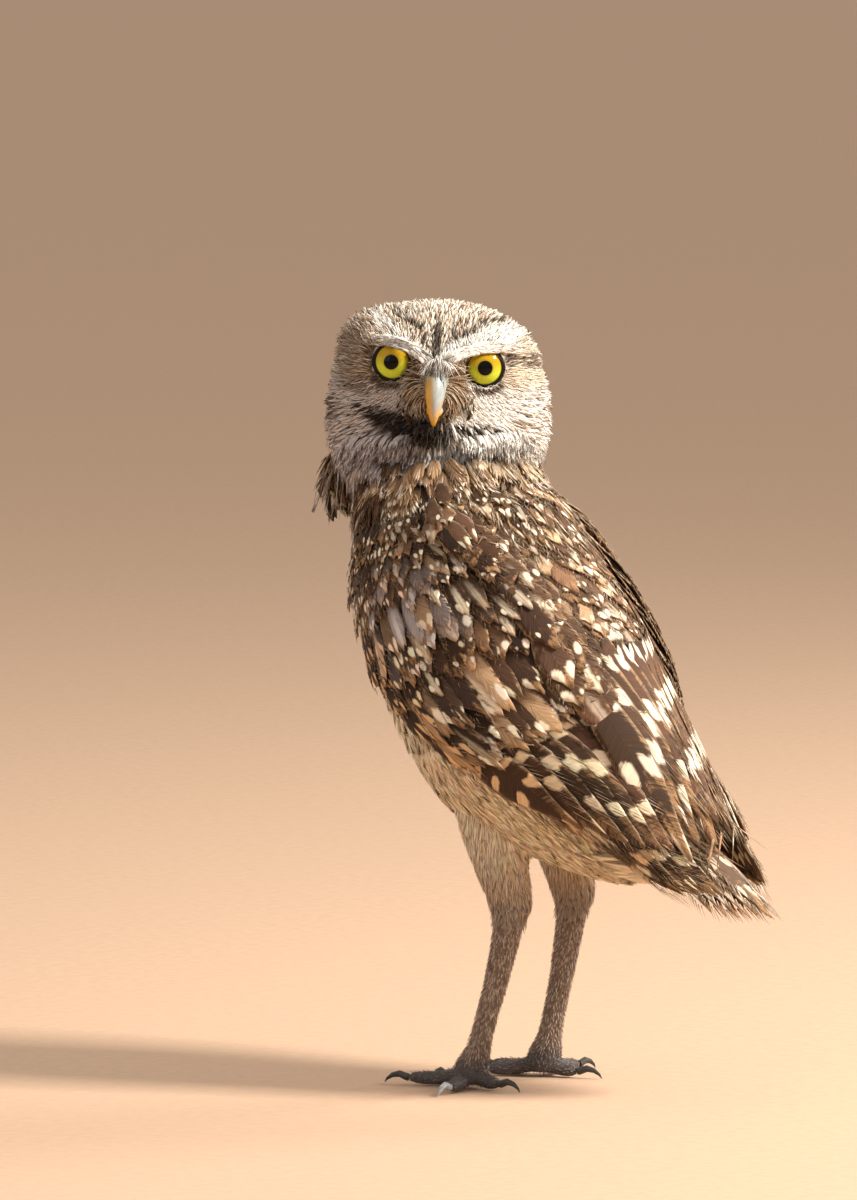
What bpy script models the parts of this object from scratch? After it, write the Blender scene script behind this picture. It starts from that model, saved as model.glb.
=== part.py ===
"""A burrowing owl, standing, life size. Metres, +Z up.

The body faces -Y, so its left side is +X, and the head is turned back over the left shoulder.
The origin is on the floor, under the middle of the owl's box. Sizes below are in millimetres,
measured from a working point on the floor midway between the ankles.
"""

import math

import bpy
import numpy as np
from mathutils import Matrix, Vector

# Driving sizes, in millimetres and degrees
MM = 0.001
GAP = 0.3
ORIGIN = np.array([0.0, 13.95, 0.0])
AROUND = 36

HEAD_CENTRE = np.array([0.0, -29.0, 213.5])
HEAD_TURN = 120.0
HEAD_ROLL = 3.5
HEAD_PITCH = 2.0
NECK_AROUND = 32
NECK_SWELL = -0.02

HEAD_AROUND = 40
HEAD_RINGS = 22
HEAD_CROWDING = -26.0
FACE_SQUARE = 2.45
NAPE_SQUARE = 2.05
DISH_DEPTH = 4.4
DISH_RADIUS = 7.5
BROW_LOW = 7.7
BROW_RISE = 9.0
BROW_DEPTH = 2.6
MUZZLE_DEPTH = 4.2
CHIN_DEPTH = 1.5
DISC_RADIUS = 27.0
DISC_RIM = 0.7
MUZZLE_HEIGHT = -1.5
CHIN_HEIGHT = -15.0
LID_FLATTENED = 0.9

EYE_RADIUS = 7.1
EYE_SPREAD = 13.5
EYE_HEIGHT = 7.6
EYE_DEPTH = -15.3
EYE_TURN = 7.0
LID_RADIUS = 6.1
LID_THICK = 0.95

LEG_SPREAD = 18.0
HOCK_BACK = 7.5
HOCK_HEIGHT = 55.0
FOOT_BACK = {"left": -6.0, "right": -2.5}
HUB_HEIGHT = 5.0
HUB_RADIUS = 5.2

TAIL_ROOT = np.array([0.0, 46.0, 93.0])
TAIL_DROP = 38.0
TAIL_PAIRS = 6
TAIL_LENGTH = 58.0
TAIL_WIDTH = 11.5
TAIL_PITCH = 2.5
TAIL_STACK = 0.88

TAIL_ROUND = 0.35
TAIL_CURVE = 1.5
TAIL_SUNK = 6.0
TAIL_OUTLINE = (0.5, 0.8, 1.0, 0.95, 0.5)

VANE_THICK = 0.5
VANE_STEP = 0.85
VANE_MOST_SLOPE = 24.0

# Stations of the tail's fleshy root: reach along the tail, half width, half height and set-down
TAIL_CORE = (
    (-6.0, 13.0, 6.5, 3.0),
    (4.0, 13.5, 6.5, 3.5),
    (12.0, 12.5, 5.6, 4.0),
    (20.0, 10.5, 4.2, 4.2),
    (26.0, 7.5, 2.6, 4.2),
)

# Torso rings, neck to rump: centre y, centre z, lean, half width, depth to the breast, depth to the back
TORSO = np.array([
    [-25.0, 178.5, 12.0, 32.0, 30.5, 29.0],
    [-19.0, 167.0, 19.0, 36.0, 36.0, 30.5],
    [-11.5, 151.5, 24.0, 38.5, 42.0, 33.0],
    [-3.5, 136.5, 27.0, 39.5, 44.0, 35.5],
    [3.5, 121.5, 31.0, 39.5, 43.0, 37.5],
    [11.0, 107.0, 36.0, 38.0, 38.5, 38.0],
    [19.5, 94.0, 42.0, 33.5, 29.0, 35.5],
    [29.0, 83.0, 48.0, 27.0, 19.5, 29.5],
    [38.0, 74.0, 53.0, 19.0, 11.5, 20.5],
    [44.5, 69.0, 56.0, 11.0, 6.5, 11.0],
])

# Head rings, crown to throat: height, half width, depths to the face and the nape, middle's set-back
HEAD = np.array([
    [26.0, 3.0, 3.0, 3.0, 3.0],
    [25.2, 10.0, 8.0, 10.0, 3.0],
    [23.0, 17.5, 14.0, 17.0, 2.0],
    [18.5, 24.0, 19.0, 23.0, 1.0],
    [12.5, 28.4, 22.5, 26.5, 0.5],
    [6.0, 31.2, 24.0, 28.5, 0.0],
    [0.0, 32.6, 24.0, 29.5, 0.0],
    [-6.0, 33.6, 24.0, 30.0, 0.0],
    [-12.0, 34.0, 23.5, 30.0, 0.0],
    [-17.0, 33.4, 22.5, 29.5, 0.0],
    [-22.0, 31.8, 22.5, 29.0, 0.0],
    [-26.0, 30.6, 24.0, 28.6, 0.0],
])

# Stations of the folded wing on the torso, shoulder to rump: ring, and the angle from the
# back of its lower edge, middle and upper edge, then how far it stands off the torso
WING_ON_TORSO = np.array([
    [0.5, 122.0, 98.0, 74.0, 0.8],
    [1.7, 135.0, 96.0, 55.0, 2.3],
    [3.0, 127.0, 90.0, 47.0, 3.0],
    [4.2, 111.0, 82.0, 44.0, 3.0],
    [5.2, 99.0, 73.0, 40.0, 3.0],
    [6.1, 88.0, 66.0, 36.0, 3.2],
])

# Each vane is read at these shares of its length, with its width there as a share of its widest
VANE_STATIONS = (0.0, 0.3, 0.58, 0.85, 1.0)
VANE_OUTLINE = (0.5, 0.85, 1.0, 0.92, 0.4)
VANE_RIDGE = 0.4

# How far a vane stands off the wing's sheet at those shares: one that starts sunk in the wing
# and ends over the next tier, one over the primaries, and the primaries under it
OVER_NEXT = (-1.4, -0.9, 0.3, 1.3, 1.6)
OVER_PRIMARIES = (-1.4, -0.9, 0.5, 1.3, 1.4)
UNDER_SECONDARIES = (-1.9, -1.6, -1.3, -1.0, -0.8)

# Tiers of a folded wing: count, first and last root, first and last tip, how far the middle ones
# reach past those, width, stand-off, which end lies on top, and columns of points in a vane
WING_TIERS = {
    "primaries": (6, ((4.0, 0.12), (4.2, 0.55)), ((7.25, 0.04), (7.8, 0.80)), 0.1, 8.5,
                  UNDER_SECONDARIES, -1, 3),
    "secondaries": (7, ((3.6, 0.12), (3.9, 0.84)), ((5.7, 0.10), (7.0, 0.88)), 0.1, 10.5,
                    OVER_PRIMARIES, -1, 3),
    "greater_coverts": (7, ((2.2, 0.10), (2.6, 0.80)), ((4.25, 0.08), (4.6, 0.80)), 0.15, 9.5,
                        OVER_NEXT, -1, 2),
    "median_coverts": (6, ((1.1, 0.12), (1.4, 0.80)), ((2.7, 0.10), (3.0, 0.80)), 0.15, 10.0,
                       OVER_NEXT, -1, 2),
}

# Stations past the torso, to the wing tip: lower edge, middle and upper edge
WING_PAST_TORSO = np.array([
    [[28.0, 51.0, 76.5], [28.5, 55.0, 84.0], [18.5, 60.0, 91.0]],
    [[21.5, 66.5, 65.0], [22.0, 68.5, 71.5], [15.0, 71.0, 77.5]],
    [[14.0, 80.5, 58.0], [14.5, 81.5, 61.0], [11.0, 82.5, 64.0]],
])

MATERIALS = {
    "plumage_back": ((0.13, 0.075, 0.04), 0.85),
    "plumage_head": ((0.36, 0.27, 0.19), 0.9),
    "plumage_belly": ((0.62, 0.45, 0.28), 0.9),
    "leg_feather": ((0.30, 0.21, 0.13), 0.9),
    "bill_horn": ((0.42, 0.43, 0.33), 0.35),
    "claw_horn": ((0.03, 0.027, 0.025), 0.35),
    "eye_yellow": ((0.85, 0.70, 0.05), 0.08),
}


# Curves and frames
def row_at(rows, at):
    """Rows joined by a smooth curve through each of them, read at a fractional row number."""
    last = len(rows) - 1
    at = min(max(at, 0.0), float(last))
    i = min(int(at), last - 1)
    f = at - i
    before = rows[i - 1] if i > 0 else 2 * rows[0] - rows[1]
    after = rows[i + 2] if i + 2 <= last else 2 * rows[last] - rows[last - 1]
    a, b = rows[i], rows[i + 1]
    slope_a = (b - before) / 2
    slope_b = (after - a) / 2
    return ((2 * f**3 - 3 * f**2 + 1) * a + (f**3 - 2 * f**2 + f) * slope_a
            + (3 * f**2 - 2 * f**3) * b + (f**3 - f**2) * slope_b)


def unit(v):
    return v / np.linalg.norm(v)


def turned(axis, degrees):
    return np.array(Matrix.Rotation(math.radians(degrees), 3, axis))


# Meshes
def material(name):
    made = bpy.data.materials.get(name)
    if made is None:
        colour, roughness = MATERIALS[name]
        made = bpy.data.materials.new(name)
        made.use_nodes = True
        shader = made.node_tree.nodes["Principled BSDF"]
        shader.inputs["Base Color"].default_value = (*colour, 1.0)
        shader.inputs["Roughness"].default_value = roughness
    return made


def mesh_object(name, points, faces, finish):
    """A mesh from points in millimetres about the working point."""
    mesh = bpy.data.meshes.new(name)
    placed = (np.asarray(points, float) - ORIGIN) * MM
    mesh.from_pydata([tuple(p) for p in placed], [], faces)
    mesh.materials.append(material(finish))
    mesh.update()
    made = bpy.data.objects.new(name, mesh)
    bpy.context.scene.collection.objects.link(made)
    return made


def loft(name, rings, finish):
    """A closed body through rings of equal counts, with a fan over each end."""
    rings = np.asarray(rings, float)
    count, around = rings.shape[:2]
    points = np.concatenate([rings.reshape(-1, 3), [rings[0].mean(0), rings[-1].mean(0)]])
    faces = []
    for i in range(count - 1):
        for j in range(around):
            k = (j + 1) % around
            faces.append((i * around + j, i * around + k, (i + 1) * around + k, (i + 1) * around + j))
    first, last = count * around, count * around + 1
    end = (count - 1) * around
    for j in range(around):
        k = (j + 1) % around
        faces.append((first, k, j))
        faces.append((last, end + j, end + k))
    made = mesh_object(name, points, faces, finish)
    return faced_out(made)


def thin_body(name, tops, drops, finish):
    """A closed thin body: a grid of points and, under each, the same grid lowered by its drop.

    Both faces are split into triangles along the same diagonals, so that they never cross."""
    tops = np.asarray(tops, float)
    rows, across = tops.shape[:2]
    count = rows * across
    points = np.concatenate([tops.reshape(-1, 3), (tops - drops).reshape(-1, 3)])
    faces = []
    for i in range(rows - 1):
        for j in range(across - 1):
            a = i * across + j
            b, c, d = a + 1, a + across + 1, a + across
            faces += [(a, b, c), (a, c, d)]
            faces += [(a + count, c + count, b + count), (a + count, d + count, c + count)]
    rim = list(range(across))
    rim += [i * across + across - 1 for i in range(1, rows)]
    rim += [(rows - 1) * across + j for j in range(across - 2, -1, -1)]
    rim += [i * across for i in range(rows - 2, 0, -1)]
    for k, a in enumerate(rim):
        b = rim[(k + 1) % len(rim)]
        faces += [(b, a, a + count), (b, a + count, b + count)]
    return faced_out(mesh_object(name, points, faces, finish))


def faced_out(made):
    """Turns the mesh's faces round if they point inwards."""
    mesh = made.data
    mesh.calc_loop_triangles()
    points = np.array([v.co for v in mesh.vertices])
    corners = points[np.array([t.vertices for t in mesh.loop_triangles])]
    if np.linalg.det(corners - points.mean(0)).sum() < 0:
        mesh.flip_normals()
    return made


def ball(name, centre, radius, finish, segments=20, rings=12):
    place = (np.asarray(centre, float) - ORIGIN) * MM
    bpy.ops.mesh.primitive_uv_sphere_add(segments=segments, ring_count=rings, radius=radius * MM,
                                         location=place)
    made = bpy.context.object
    made.name = name
    made.data.materials.append(material(finish))
    return made


def evaluated(made):
    """The object's mesh with its modifiers applied and its place in its vertices."""
    bpy.context.view_layer.update()
    graph = bpy.context.evaluated_depsgraph_get()
    mesh = bpy.data.meshes.new_from_object(made.evaluated_get(graph))
    mesh.transform(made.matrix_world)
    made.modifiers.clear()
    made.data = mesh
    made.matrix_world = Matrix.Identity(4)
    return made


def combine(made, others, operation):
    """One Boolean on a collection of closed meshes, applied, with the others then removed."""
    group = bpy.data.collections.new("joined_pieces")
    for other in others:
        group.objects.link(other)
    step = made.modifiers.new("combine", "BOOLEAN")
    step.operand_type = "COLLECTION"
    step.operation = operation
    step.solver = "EXACT"
    step.collection = group
    evaluated(made)
    for other in others:
        bpy.data.objects.remove(other)
    bpy.data.collections.remove(group)
    return largest_surface(made)


def largest_surface(made):
    """Keeps the closed surface that spans the most, and drops loose scraps and sealed hollows."""
    mesh = made.data
    count = len(mesh.vertices)
    owner = np.arange(count)
    edges = np.array([e.vertices for e in mesh.edges])
    while True:
        low = np.minimum(owner[edges[:, 0]], owner[edges[:, 1]])
        grown = owner.copy()
        np.minimum.at(grown, edges[:, 0], low)
        np.minimum.at(grown, edges[:, 1], low)
        grown = grown[grown]
        if (grown == owner).all():
            break
        owner = grown
    kept = np.bincount(owner).argmax()
    if (owner == kept).all():
        return made
    index = np.cumsum(owner == kept) - 1
    points = [mesh.vertices[i].co.copy() for i in np.flatnonzero(owner == kept)]
    faces = [tuple(index[v] for v in p.vertices) for p in mesh.polygons if owner[p.vertices[0]] == kept]
    materials = list(mesh.materials)
    mesh.clear_geometry()
    mesh.from_pydata(points, [], [tuple(int(v) for v in f) for f in faces])
    for finish in materials:
        mesh.materials.append(finish) if finish.name not in mesh.materials else None
    mesh.update()
    return made


def soften(made, angle=50.0):
    made.data.shade_smooth()
    made.data.set_sharp_from_angle(angle=math.radians(angle))
    return made


# Torso
def torso_frame(ring):
    """Centre, breast-to-back direction, half width and the depths to breast and back."""
    y, z, lean, half, breast, back = row_at(TORSO, ring)
    lean = math.radians(lean)
    centre = np.array([0.0, y, z])
    return centre, np.array([0.0, math.cos(lean), math.sin(lean)]), half, breast, back


def torso_point(ring, angle, lift=0.0):
    """A point on the torso: angle 0 is the back's middle, 90 the left side and 180 the breast."""
    centre, backward, half, breast, back = torso_frame(ring)
    s, c = math.sin(math.radians(angle)), math.cos(math.radians(angle))
    depth = back if c > 0 else breast
    return centre + np.array([1.0, 0.0, 0.0]) * (half + lift) * s + backward * (depth + lift) * c


def torso_rings(grow=0.0):
    last = len(TORSO) - 1
    steps = np.linspace(0, last, 17)
    rings = [[torso_point(u, 360.0 * j / AROUND, grow) for j in range(AROUND)] for u in steps]
    if grow:
        downward = unit(TORSO_END - TORSO_BEFORE_END)
        rings[0] = [p - TOP_NORMAL * -grow for p in np.array(rings[0])]
        rings[-1] = [p + downward * grow for p in np.array(rings[-1])]
    return rings


TORSO_END = np.array([0.0, *TORSO[-1, :2]])
TORSO_BEFORE_END = np.array([0.0, *TORSO[-2, :2]])
TOP_LEAN = math.radians(TORSO[0, 2])
TOP_NORMAL = np.array([0.0, -math.sin(TOP_LEAN), math.cos(TOP_LEAN)])


def build_torso():
    return soften(loft("torso", torso_rings(), "plumage_belly"))


# Head, in its own frame: face towards -Y, the owl's left towards +X
HEAD_FRAME = turned("Z", HEAD_TURN) @ turned("Y", HEAD_ROLL) @ turned("X", HEAD_PITCH)


def in_head(points):
    """Points of the head's own frame, placed on the owl."""
    return np.asarray(points, float) @ HEAD_FRAME.T + HEAD_CENTRE


def face_relief(x, z):
    """How far the face's front sinks (+) or stands out (-) at a point of its front view."""
    side = abs(x)
    eye = math.hypot(side - EYE_SPREAD, (z - EYE_HEIGHT) * 1.05)
    dish = DISH_DEPTH * math.exp(-((eye / DISH_RADIUS) ** 2))
    run = min(max((side - 2.0) / 20.0, 0.0), 1.0)
    ridge = BROW_LOW + BROW_RISE * run
    past_brow = max(side - 19.0, 0.0) / 4.0
    brow = -BROW_DEPTH * math.exp(-(((z - ridge) / 2.6) ** 2) - past_brow**2)
    muzzle = -MUZZLE_DEPTH * math.exp(-((side / 6.0) ** 2) - (((z - MUZZLE_HEIGHT) / 9.0) ** 2))
    chin = -CHIN_DEPTH * math.exp(-((side / 17.0) ** 2) - (((z - CHIN_HEIGHT) / 5.0) ** 2))
    rim = math.hypot(side, z + 2.0)
    disc = -DISC_RIM * math.exp(-(((rim - DISC_RADIUS) / 3.0) ** 2))
    return dish + brow + muzzle + chin + disc


def head_point(ring, angle, grow=0.0):
    height, half, face, nape, set_back = row_at(HEAD, ring)
    s, c = math.sin(math.radians(angle)), math.cos(math.radians(angle))
    square = FACE_SQUARE if c < 0 else NAPE_SQUARE
    depth = face if c < 0 else nape
    x = math.copysign(abs(s) ** (2 / square), s) * (half + grow)
    y = math.copysign(abs(c) ** (2 / square), c) * (depth + grow) + set_back
    if c < 0:
        y += face_relief(x, height) * min(1.0, 3.0 * abs(c))
    return np.array([x, y, height])


def head_angles():
    """Angles round the head, closer together over the face than over the nape."""
    even = np.arange(HEAD_AROUND) / HEAD_AROUND
    return 360.0 * even - HEAD_CROWDING * np.sin(2 * math.pi * even)


def head_rings(grow=0.0):
    last = len(HEAD) - 1
    rings = np.array([[head_point(u, angle, grow) for angle in head_angles()]
                      for u in np.linspace(0, last, HEAD_RINGS)])
    if grow:
        rings[0, :, 2] += grow
        rings[-1, :, 2] -= grow
    return in_head(rings.reshape(-1, 3)).reshape(rings.shape)


def lid_ring(side):
    """The rim of lids round an eye, as rings of a bent tube."""
    centre = np.array([side * EYE_SPREAD, EYE_DEPTH, EYE_HEIGHT])
    gaze = turned("Z", side * EYE_TURN)
    out = math.sqrt(EYE_RADIUS**2 - LID_RADIUS**2) + 0.5
    rings = []
    for i in range(20):
        around = 2 * math.pi * i / 20
        radial = np.array([math.cos(around), 0.0, math.sin(around) * LID_FLATTENED])
        middle = radial * LID_RADIUS + np.array([0.0, -out, 0.0])
        ring = []
        for j in range(6):
            turn = 2 * math.pi * j / 6
            outward = radial * math.cos(turn) + np.array([0.0, -math.sin(turn), 0.0])
            ring.append(middle + outward * LID_THICK)
        rings.append(ring)
    rings = np.array(rings) @ gaze.T + centre
    return in_head(rings.reshape(-1, 3)).reshape(rings.shape)


def closed_ring(name, rings, finish):
    """A tube whose last ring joins its first."""
    count, around = rings.shape[:2]
    faces = []
    for i in range(count):
        n = (i + 1) % count
        for j in range(around):
            k = (j + 1) % around
            faces.append((i * around + j, i * around + k, n * around + k, n * around + j))
    return faced_out(mesh_object(name, rings.reshape(-1, 3), faces, finish))


def eye_centre(side):
    return in_head([[side * EYE_SPREAD, EYE_DEPTH, EYE_HEIGHT]])[0]


def build_head():
    head = loft("head", head_rings(), "plumage_head")
    lids = [closed_ring(f"lid_{side}", lid_ring(side), "plumage_head") for side in (-1, 1)]
    combine(head, lids, "UNION")
    sockets = [ball("socket", eye_centre(side), EYE_RADIUS + GAP, "plumage_head", 24, 14)
               for side in (-1, 1)]
    combine(head, sockets, "DIFFERENCE")
    soften(head)
    for side, word in ((1, "left"), (-1, "right")):
        eye = ball(f"eye_{word}", eye_centre(side), EYE_RADIUS, "eye_yellow")
        eye.data.shade_smooth()


# Bill stations in the head's frame, root to tip: y, z, half width, half height
UPPER_BILL = np.array([
    [-17.0, 4.6, 3.3, 3.5],
    [-25.0, 4.2, 3.6, 3.6],
    [-28.8, 1.9, 3.3, 3.6],
    [-30.6, -1.9, 2.8, 3.1],
    [-30.9, -5.7, 1.9, 2.0],
    [-30.0, -8.7, 1.05, 1.15],
    [-29.2, -10.6, 0.35, 0.35],
])
LOWER_BILL = np.array([
    [-19.0, -5.0, 2.8, 1.6],
    [-25.5, -5.6, 2.8, 1.6],
    [-28.0, -6.6, 2.1, 1.25],
    [-29.4, -7.8, 0.85, 0.6],
])
BILL_AROUND = 12


def bill_rings(stations, grow=0.0):
    rings = []
    steps = np.linspace(0, len(stations) - 1, 2 * len(stations) - 1)
    for u in steps:
        y, z, half, high = row_at(stations, u)
        ahead = row_at(stations, u + 0.05)[:2] - row_at(stations, u - 0.05)[:2]
        ahead = unit(ahead)
        over = np.array([0.0, -ahead[1], ahead[0]]) * -1.0
        ring = []
        for j in range(BILL_AROUND):
            turn = 2 * math.pi * j / BILL_AROUND
            across = math.sin(turn) * (half + grow)
            up = math.cos(turn) * (high + grow)
            ring.append(np.array([across, y, z]) + over * up)
        rings.append(ring)
    rings = np.array(rings)
    return in_head(rings.reshape(-1, 3)).reshape(rings.shape)


def build_bill():
    upper = loft("bill_upper", bill_rings(UPPER_BILL), "bill_horn")
    nostrils = [ball("nostril", in_head([[side * 3.3, -26.4, 4.4]])[0], 0.9, "bill_horn", 10, 6)
                for side in (-1, 1)]
    combine(upper, [loft("face", head_rings(GAP), "plumage_head"), *nostrils], "DIFFERENCE")
    lower = loft("bill_lower", bill_rings(LOWER_BILL), "bill_horn")
    cutters = [loft("face", head_rings(GAP), "plumage_head"),
               loft("over", bill_rings(UPPER_BILL, GAP), "bill_horn")]
    combine(lower, cutters, "DIFFERENCE")
    soften(upper)
    soften(lower)


def by_bearing(ring, count):
    """The ring's outline read at even bearings round its middle, seen from above."""
    ring = np.asarray(ring, float)
    middle = ring.mean(0)
    bearings = np.arctan2(ring[:, 1] - middle[1], ring[:, 0] - middle[0])
    order = np.argsort(bearings)
    wanted = np.linspace(-math.pi, math.pi, count, endpoint=False)
    return np.stack([np.interp(wanted, bearings[order], ring[order, k], period=2 * math.pi)
                     for k in range(3)], axis=1)


def build_neck():
    """Fills the turn between the torso's top and the head's underside, a gap away from each."""
    downward = in_head([[0.0, 0.0, -1.0]])[0] - HEAD_CENTRE
    bottom = by_bearing(torso_rings()[0], NECK_AROUND) + TOP_NORMAL * GAP
    top = by_bearing(head_rings()[-1], NECK_AROUND) + downward * GAP
    middle = (bottom + top) / 2
    middle += (middle - middle.mean(0)) * NECK_SWELL
    soften(loft("neck", [bottom, middle, top], "plumage_head"))


# Folded wing, as a sheet: run 0 at the shoulder to WING_END at the tip, spread 0 at the lower
# edge to 1 at the upper edge
WING_END = len(WING_ON_TORSO) + len(WING_PAST_TORSO) - 1
CORE_END = 5.8


def wing_stations():
    rows = [[torso_point(ring, low, lift), torso_point(ring, mid, lift), torso_point(ring, top, lift)]
            for ring, low, mid, top, lift in WING_ON_TORSO]
    return np.array([*rows, *WING_PAST_TORSO])


WING = wing_stations()


def wing_place(run, spread):
    low, mid, top = row_at(WING, run)
    return (low * (1 - spread) * (1 - 2 * spread) + mid * 4 * spread * (1 - spread)
            + top * spread * (2 * spread - 1))


def wing_frame(run, spread):
    """A point of the sheet, its outward direction and the direction towards the tip."""
    here = wing_place(run, spread)
    tipward = unit(wing_place(run + 0.1, spread) - wing_place(run - 0.1, spread))
    across = wing_place(run, spread + 0.05) - wing_place(run, spread - 0.05)
    return here, unit(np.cross(tipward, across)), tipward


def wing_core_rings():
    rings = []
    for run in np.linspace(0.0, CORE_END, 13):
        share = run / CORE_END
        depth = 7.5 - 5.9 * max(0.0, share - 0.55) / 0.45
        outer = [wing_frame(run, t) for t in np.linspace(0.0, 1.0, 9)]
        ring = [p for p, _, _ in outer]
        ring += [p - out * depth for p, out, _ in reversed(outer[1:-1])]
        rings.append(ring)
    return rings


def vane_row(paths, outs, widths, over, columns):
    """Vanes side by side, each tilted just enough to pass over the next by a step.

    paths holds a line of points for each vane, outs the outward direction at each point and
    widths the vane's width at each; over is 1 where the first vane lies on top, or -1."""
    paths, outs = np.asarray(paths), np.asarray(outs)
    made = []
    for i, path in enumerate(paths):
        beside = paths[i + 1] - path if i + 1 < len(paths) else path - paths[i - 1]
        tops, drops = [], []
        for k, here in enumerate(path):
            ahead = unit(path[min(k + 1, len(path) - 1)] - path[max(k - 1, 0)])
            across = unit(np.cross(outs[i, k], ahead))
            across *= np.sign(across @ beside[k])
            out = unit(outs[i, k] - ahead * (outs[i, k] @ ahead))
            spacing = max(abs(across @ beside[k]), 0.1)
            slope = math.degrees(math.atan(VANE_STEP / spacing))
            slope = math.radians(min(slope, VANE_MOST_SLOPE)) * over
            level = across * math.cos(slope) + out * math.sin(slope)
            thick = (out * math.cos(slope) - across * math.sin(slope)) * VANE_THICK
            places = np.linspace(-0.5, 0.5, columns) * widths[k]
            ridge = VANE_RIDGE * (columns > 2)
            tops.append([here + level * p + thick * (0.5 + ridge * (abs(p) < 0.1)) for p in places])
            drops.append([thick * (1 + ridge * (abs(p) < 0.1)) for p in places])
        made.append(thin_body("vane", tops, np.array(drops), "plumage_back"))
    return made


def wing_row(count, roots, tips, bow, width, lifts, over, columns):
    """A tier of vanes on the wing's sheet; roots and tips hold its first and last run and spread."""
    paths, outs = [], []
    for i in range(count):
        share = i / (count - 1)
        start = np.array(roots[0]) * (1 - share) + np.array(roots[1]) * share
        end = np.array(tips[0]) * (1 - share) + np.array(tips[1]) * share
        end[0] += bow * math.sin(math.pi * share)
        path, out_line = [], []
        for step, lift in zip(VANE_STATIONS, lifts):
            here, out, _ = wing_frame(*(start + (end - start) * step))
            path.append(here + out * lift)
            out_line.append(out)
        paths.append(path)
        outs.append(out_line)
    widths = [width * share for share in VANE_OUTLINE]
    return vane_row(paths, outs, widths, over, columns)


def build_wing(side, word):
    core = loft(f"wing_{word}", wing_core_rings(), "plumage_back")
    vanes = [vane for tier in WING_TIERS.values() for vane in wing_row(*tier)]
    combine(core, vanes, "UNION")
    if side < 0:
        mirror_across(core)
    combine(core, [loft("torso_space", torso_rings(GAP), "plumage_belly")], "DIFFERENCE")
    return soften(core, 40.0)


def mirror_across(made):
    """Turns a left piece into the right one, across the owl's middle plane."""
    middle = -ORIGIN[0] * MM
    for vertex in made.data.vertices:
        vertex.co.x = 2 * middle - vertex.co.x
    made.data.flip_normals()


# Tail
def tail_axes():
    drop = math.radians(TAIL_DROP)
    along = np.array([0.0, math.cos(drop), -math.sin(drop)])
    up = np.array([0.0, math.sin(drop), math.cos(drop)])
    return along, up


def build_tail():
    along, up = tail_axes()
    side_on = np.array([1.0, 0.0, 0.0])
    rings = []
    for step, half, high, droop in TAIL_CORE:
        middle = TAIL_ROOT + along * step - up * droop
        rings.append([middle + side_on * half * math.sin(t) + up * high * math.cos(t)
                      for t in np.linspace(0, 2 * math.pi, 18, endpoint=False)])
    tail = loft("tail", rings, "plumage_back")
    feathers = []
    for rank in range(2 * TAIL_PAIRS):
        pair, side = rank // 2, 1 if rank % 2 == 0 else -1
        length = TAIL_LENGTH - TAIL_ROUND * pair * pair
        tops, drops = [], []
        for step, share in zip(VANE_STATIONS, TAIL_OUTLINE):
            sweep = side * (TAIL_PITCH * pair + TAIL_PITCH / 2) * (0.4 + 0.6 * step)
            droop = rank * TAIL_STACK * (0.55 + 0.45 * step) + TAIL_CURVE * step * step
            here = TAIL_ROOT + along * (TAIL_SUNK + (length - TAIL_SUNK) * step)
            here = here - up * droop + side_on * sweep
            thick = up * VANE_THICK
            places = (-0.5 * share * TAIL_WIDTH, 0.0, 0.5 * share * TAIL_WIDTH)
            tops.append([here + side_on * p + thick * VANE_RIDGE * (p == 0) for p in places])
            drops.append([thick * (1 + VANE_RIDGE * (p == 0)) for p in places])
        feathers.append(thin_body("rectrix", tops, np.array(drops), "plumage_back"))
    combine(tail, feathers, "UNION")
    combine(tail, [loft("torso_space", torso_rings(GAP), "plumage_belly")], "DIFFERENCE")
    return soften(tail, 40.0)


# Legs
def tube_rings(stations, around, grow=0.0):
    """Level rings: centre x, y, z, then half sizes across and along the owl."""
    rings = []
    for x, y, z, across, along in stations:
        rings.append([[x + (across + grow) * math.sin(t), y + (along + grow) * math.cos(t), z]
                      for t in np.linspace(0, 2 * math.pi, around, endpoint=False)])
    return rings


def thigh_stations(side):
    x = side * LEG_SPREAD
    return [
        [x, -3.0, 96.0, 9.0, 13.0],
        [x, -1.0, 86.0, 10.0, 14.0],
        [x, 2.0, 76.0, 9.5, 12.0],
        [x, 5.0, 67.0, 7.8, 9.0],
        [x, HOCK_BACK, 59.5, 6.4, 7.2],
        [x, HOCK_BACK + 0.7, HOCK_HEIGHT, 5.4, 6.4],
    ]


def shank_stations(side, word):
    x, foot = side * LEG_SPREAD, FOOT_BACK[word]
    top = HOCK_HEIGHT - GAP
    rows = [[x, HOCK_BACK + 0.4, top, 4.9, 5.8], [x, HOCK_BACK - 0.8, top - 7.0, 4.6, 5.2]]
    for share, across, along in ((0.35, 4.2, 4.4), (0.6, 4.0, 4.1), (0.82, 4.1, 4.3)):
        level = (top - 7.0) * (1 - share) + HUB_HEIGHT * share
        rows.append([x, HOCK_BACK * (1 - share) + foot * share, level, across, along])
    rows.append([x, foot, HUB_HEIGHT + 2.5, 5.0, 5.4])
    rows.append([x, foot, HUB_HEIGHT - 1.0, HUB_RADIUS, HUB_RADIUS + 0.3])
    rows.append([x, foot, 1.2, HUB_RADIUS - 1.2, HUB_RADIUS - 1.0])
    return rows


def build_leg(side, word):
    thigh = loft(f"thigh_{word}", tube_rings(thigh_stations(side), 20), "plumage_belly")
    combine(thigh, [loft("torso_space", torso_rings(GAP), "plumage_belly")], "DIFFERENCE")
    soften(thigh)
    soften(loft(f"shank_{word}", tube_rings(shank_stations(side, word), 16), "leg_feather"))


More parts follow.
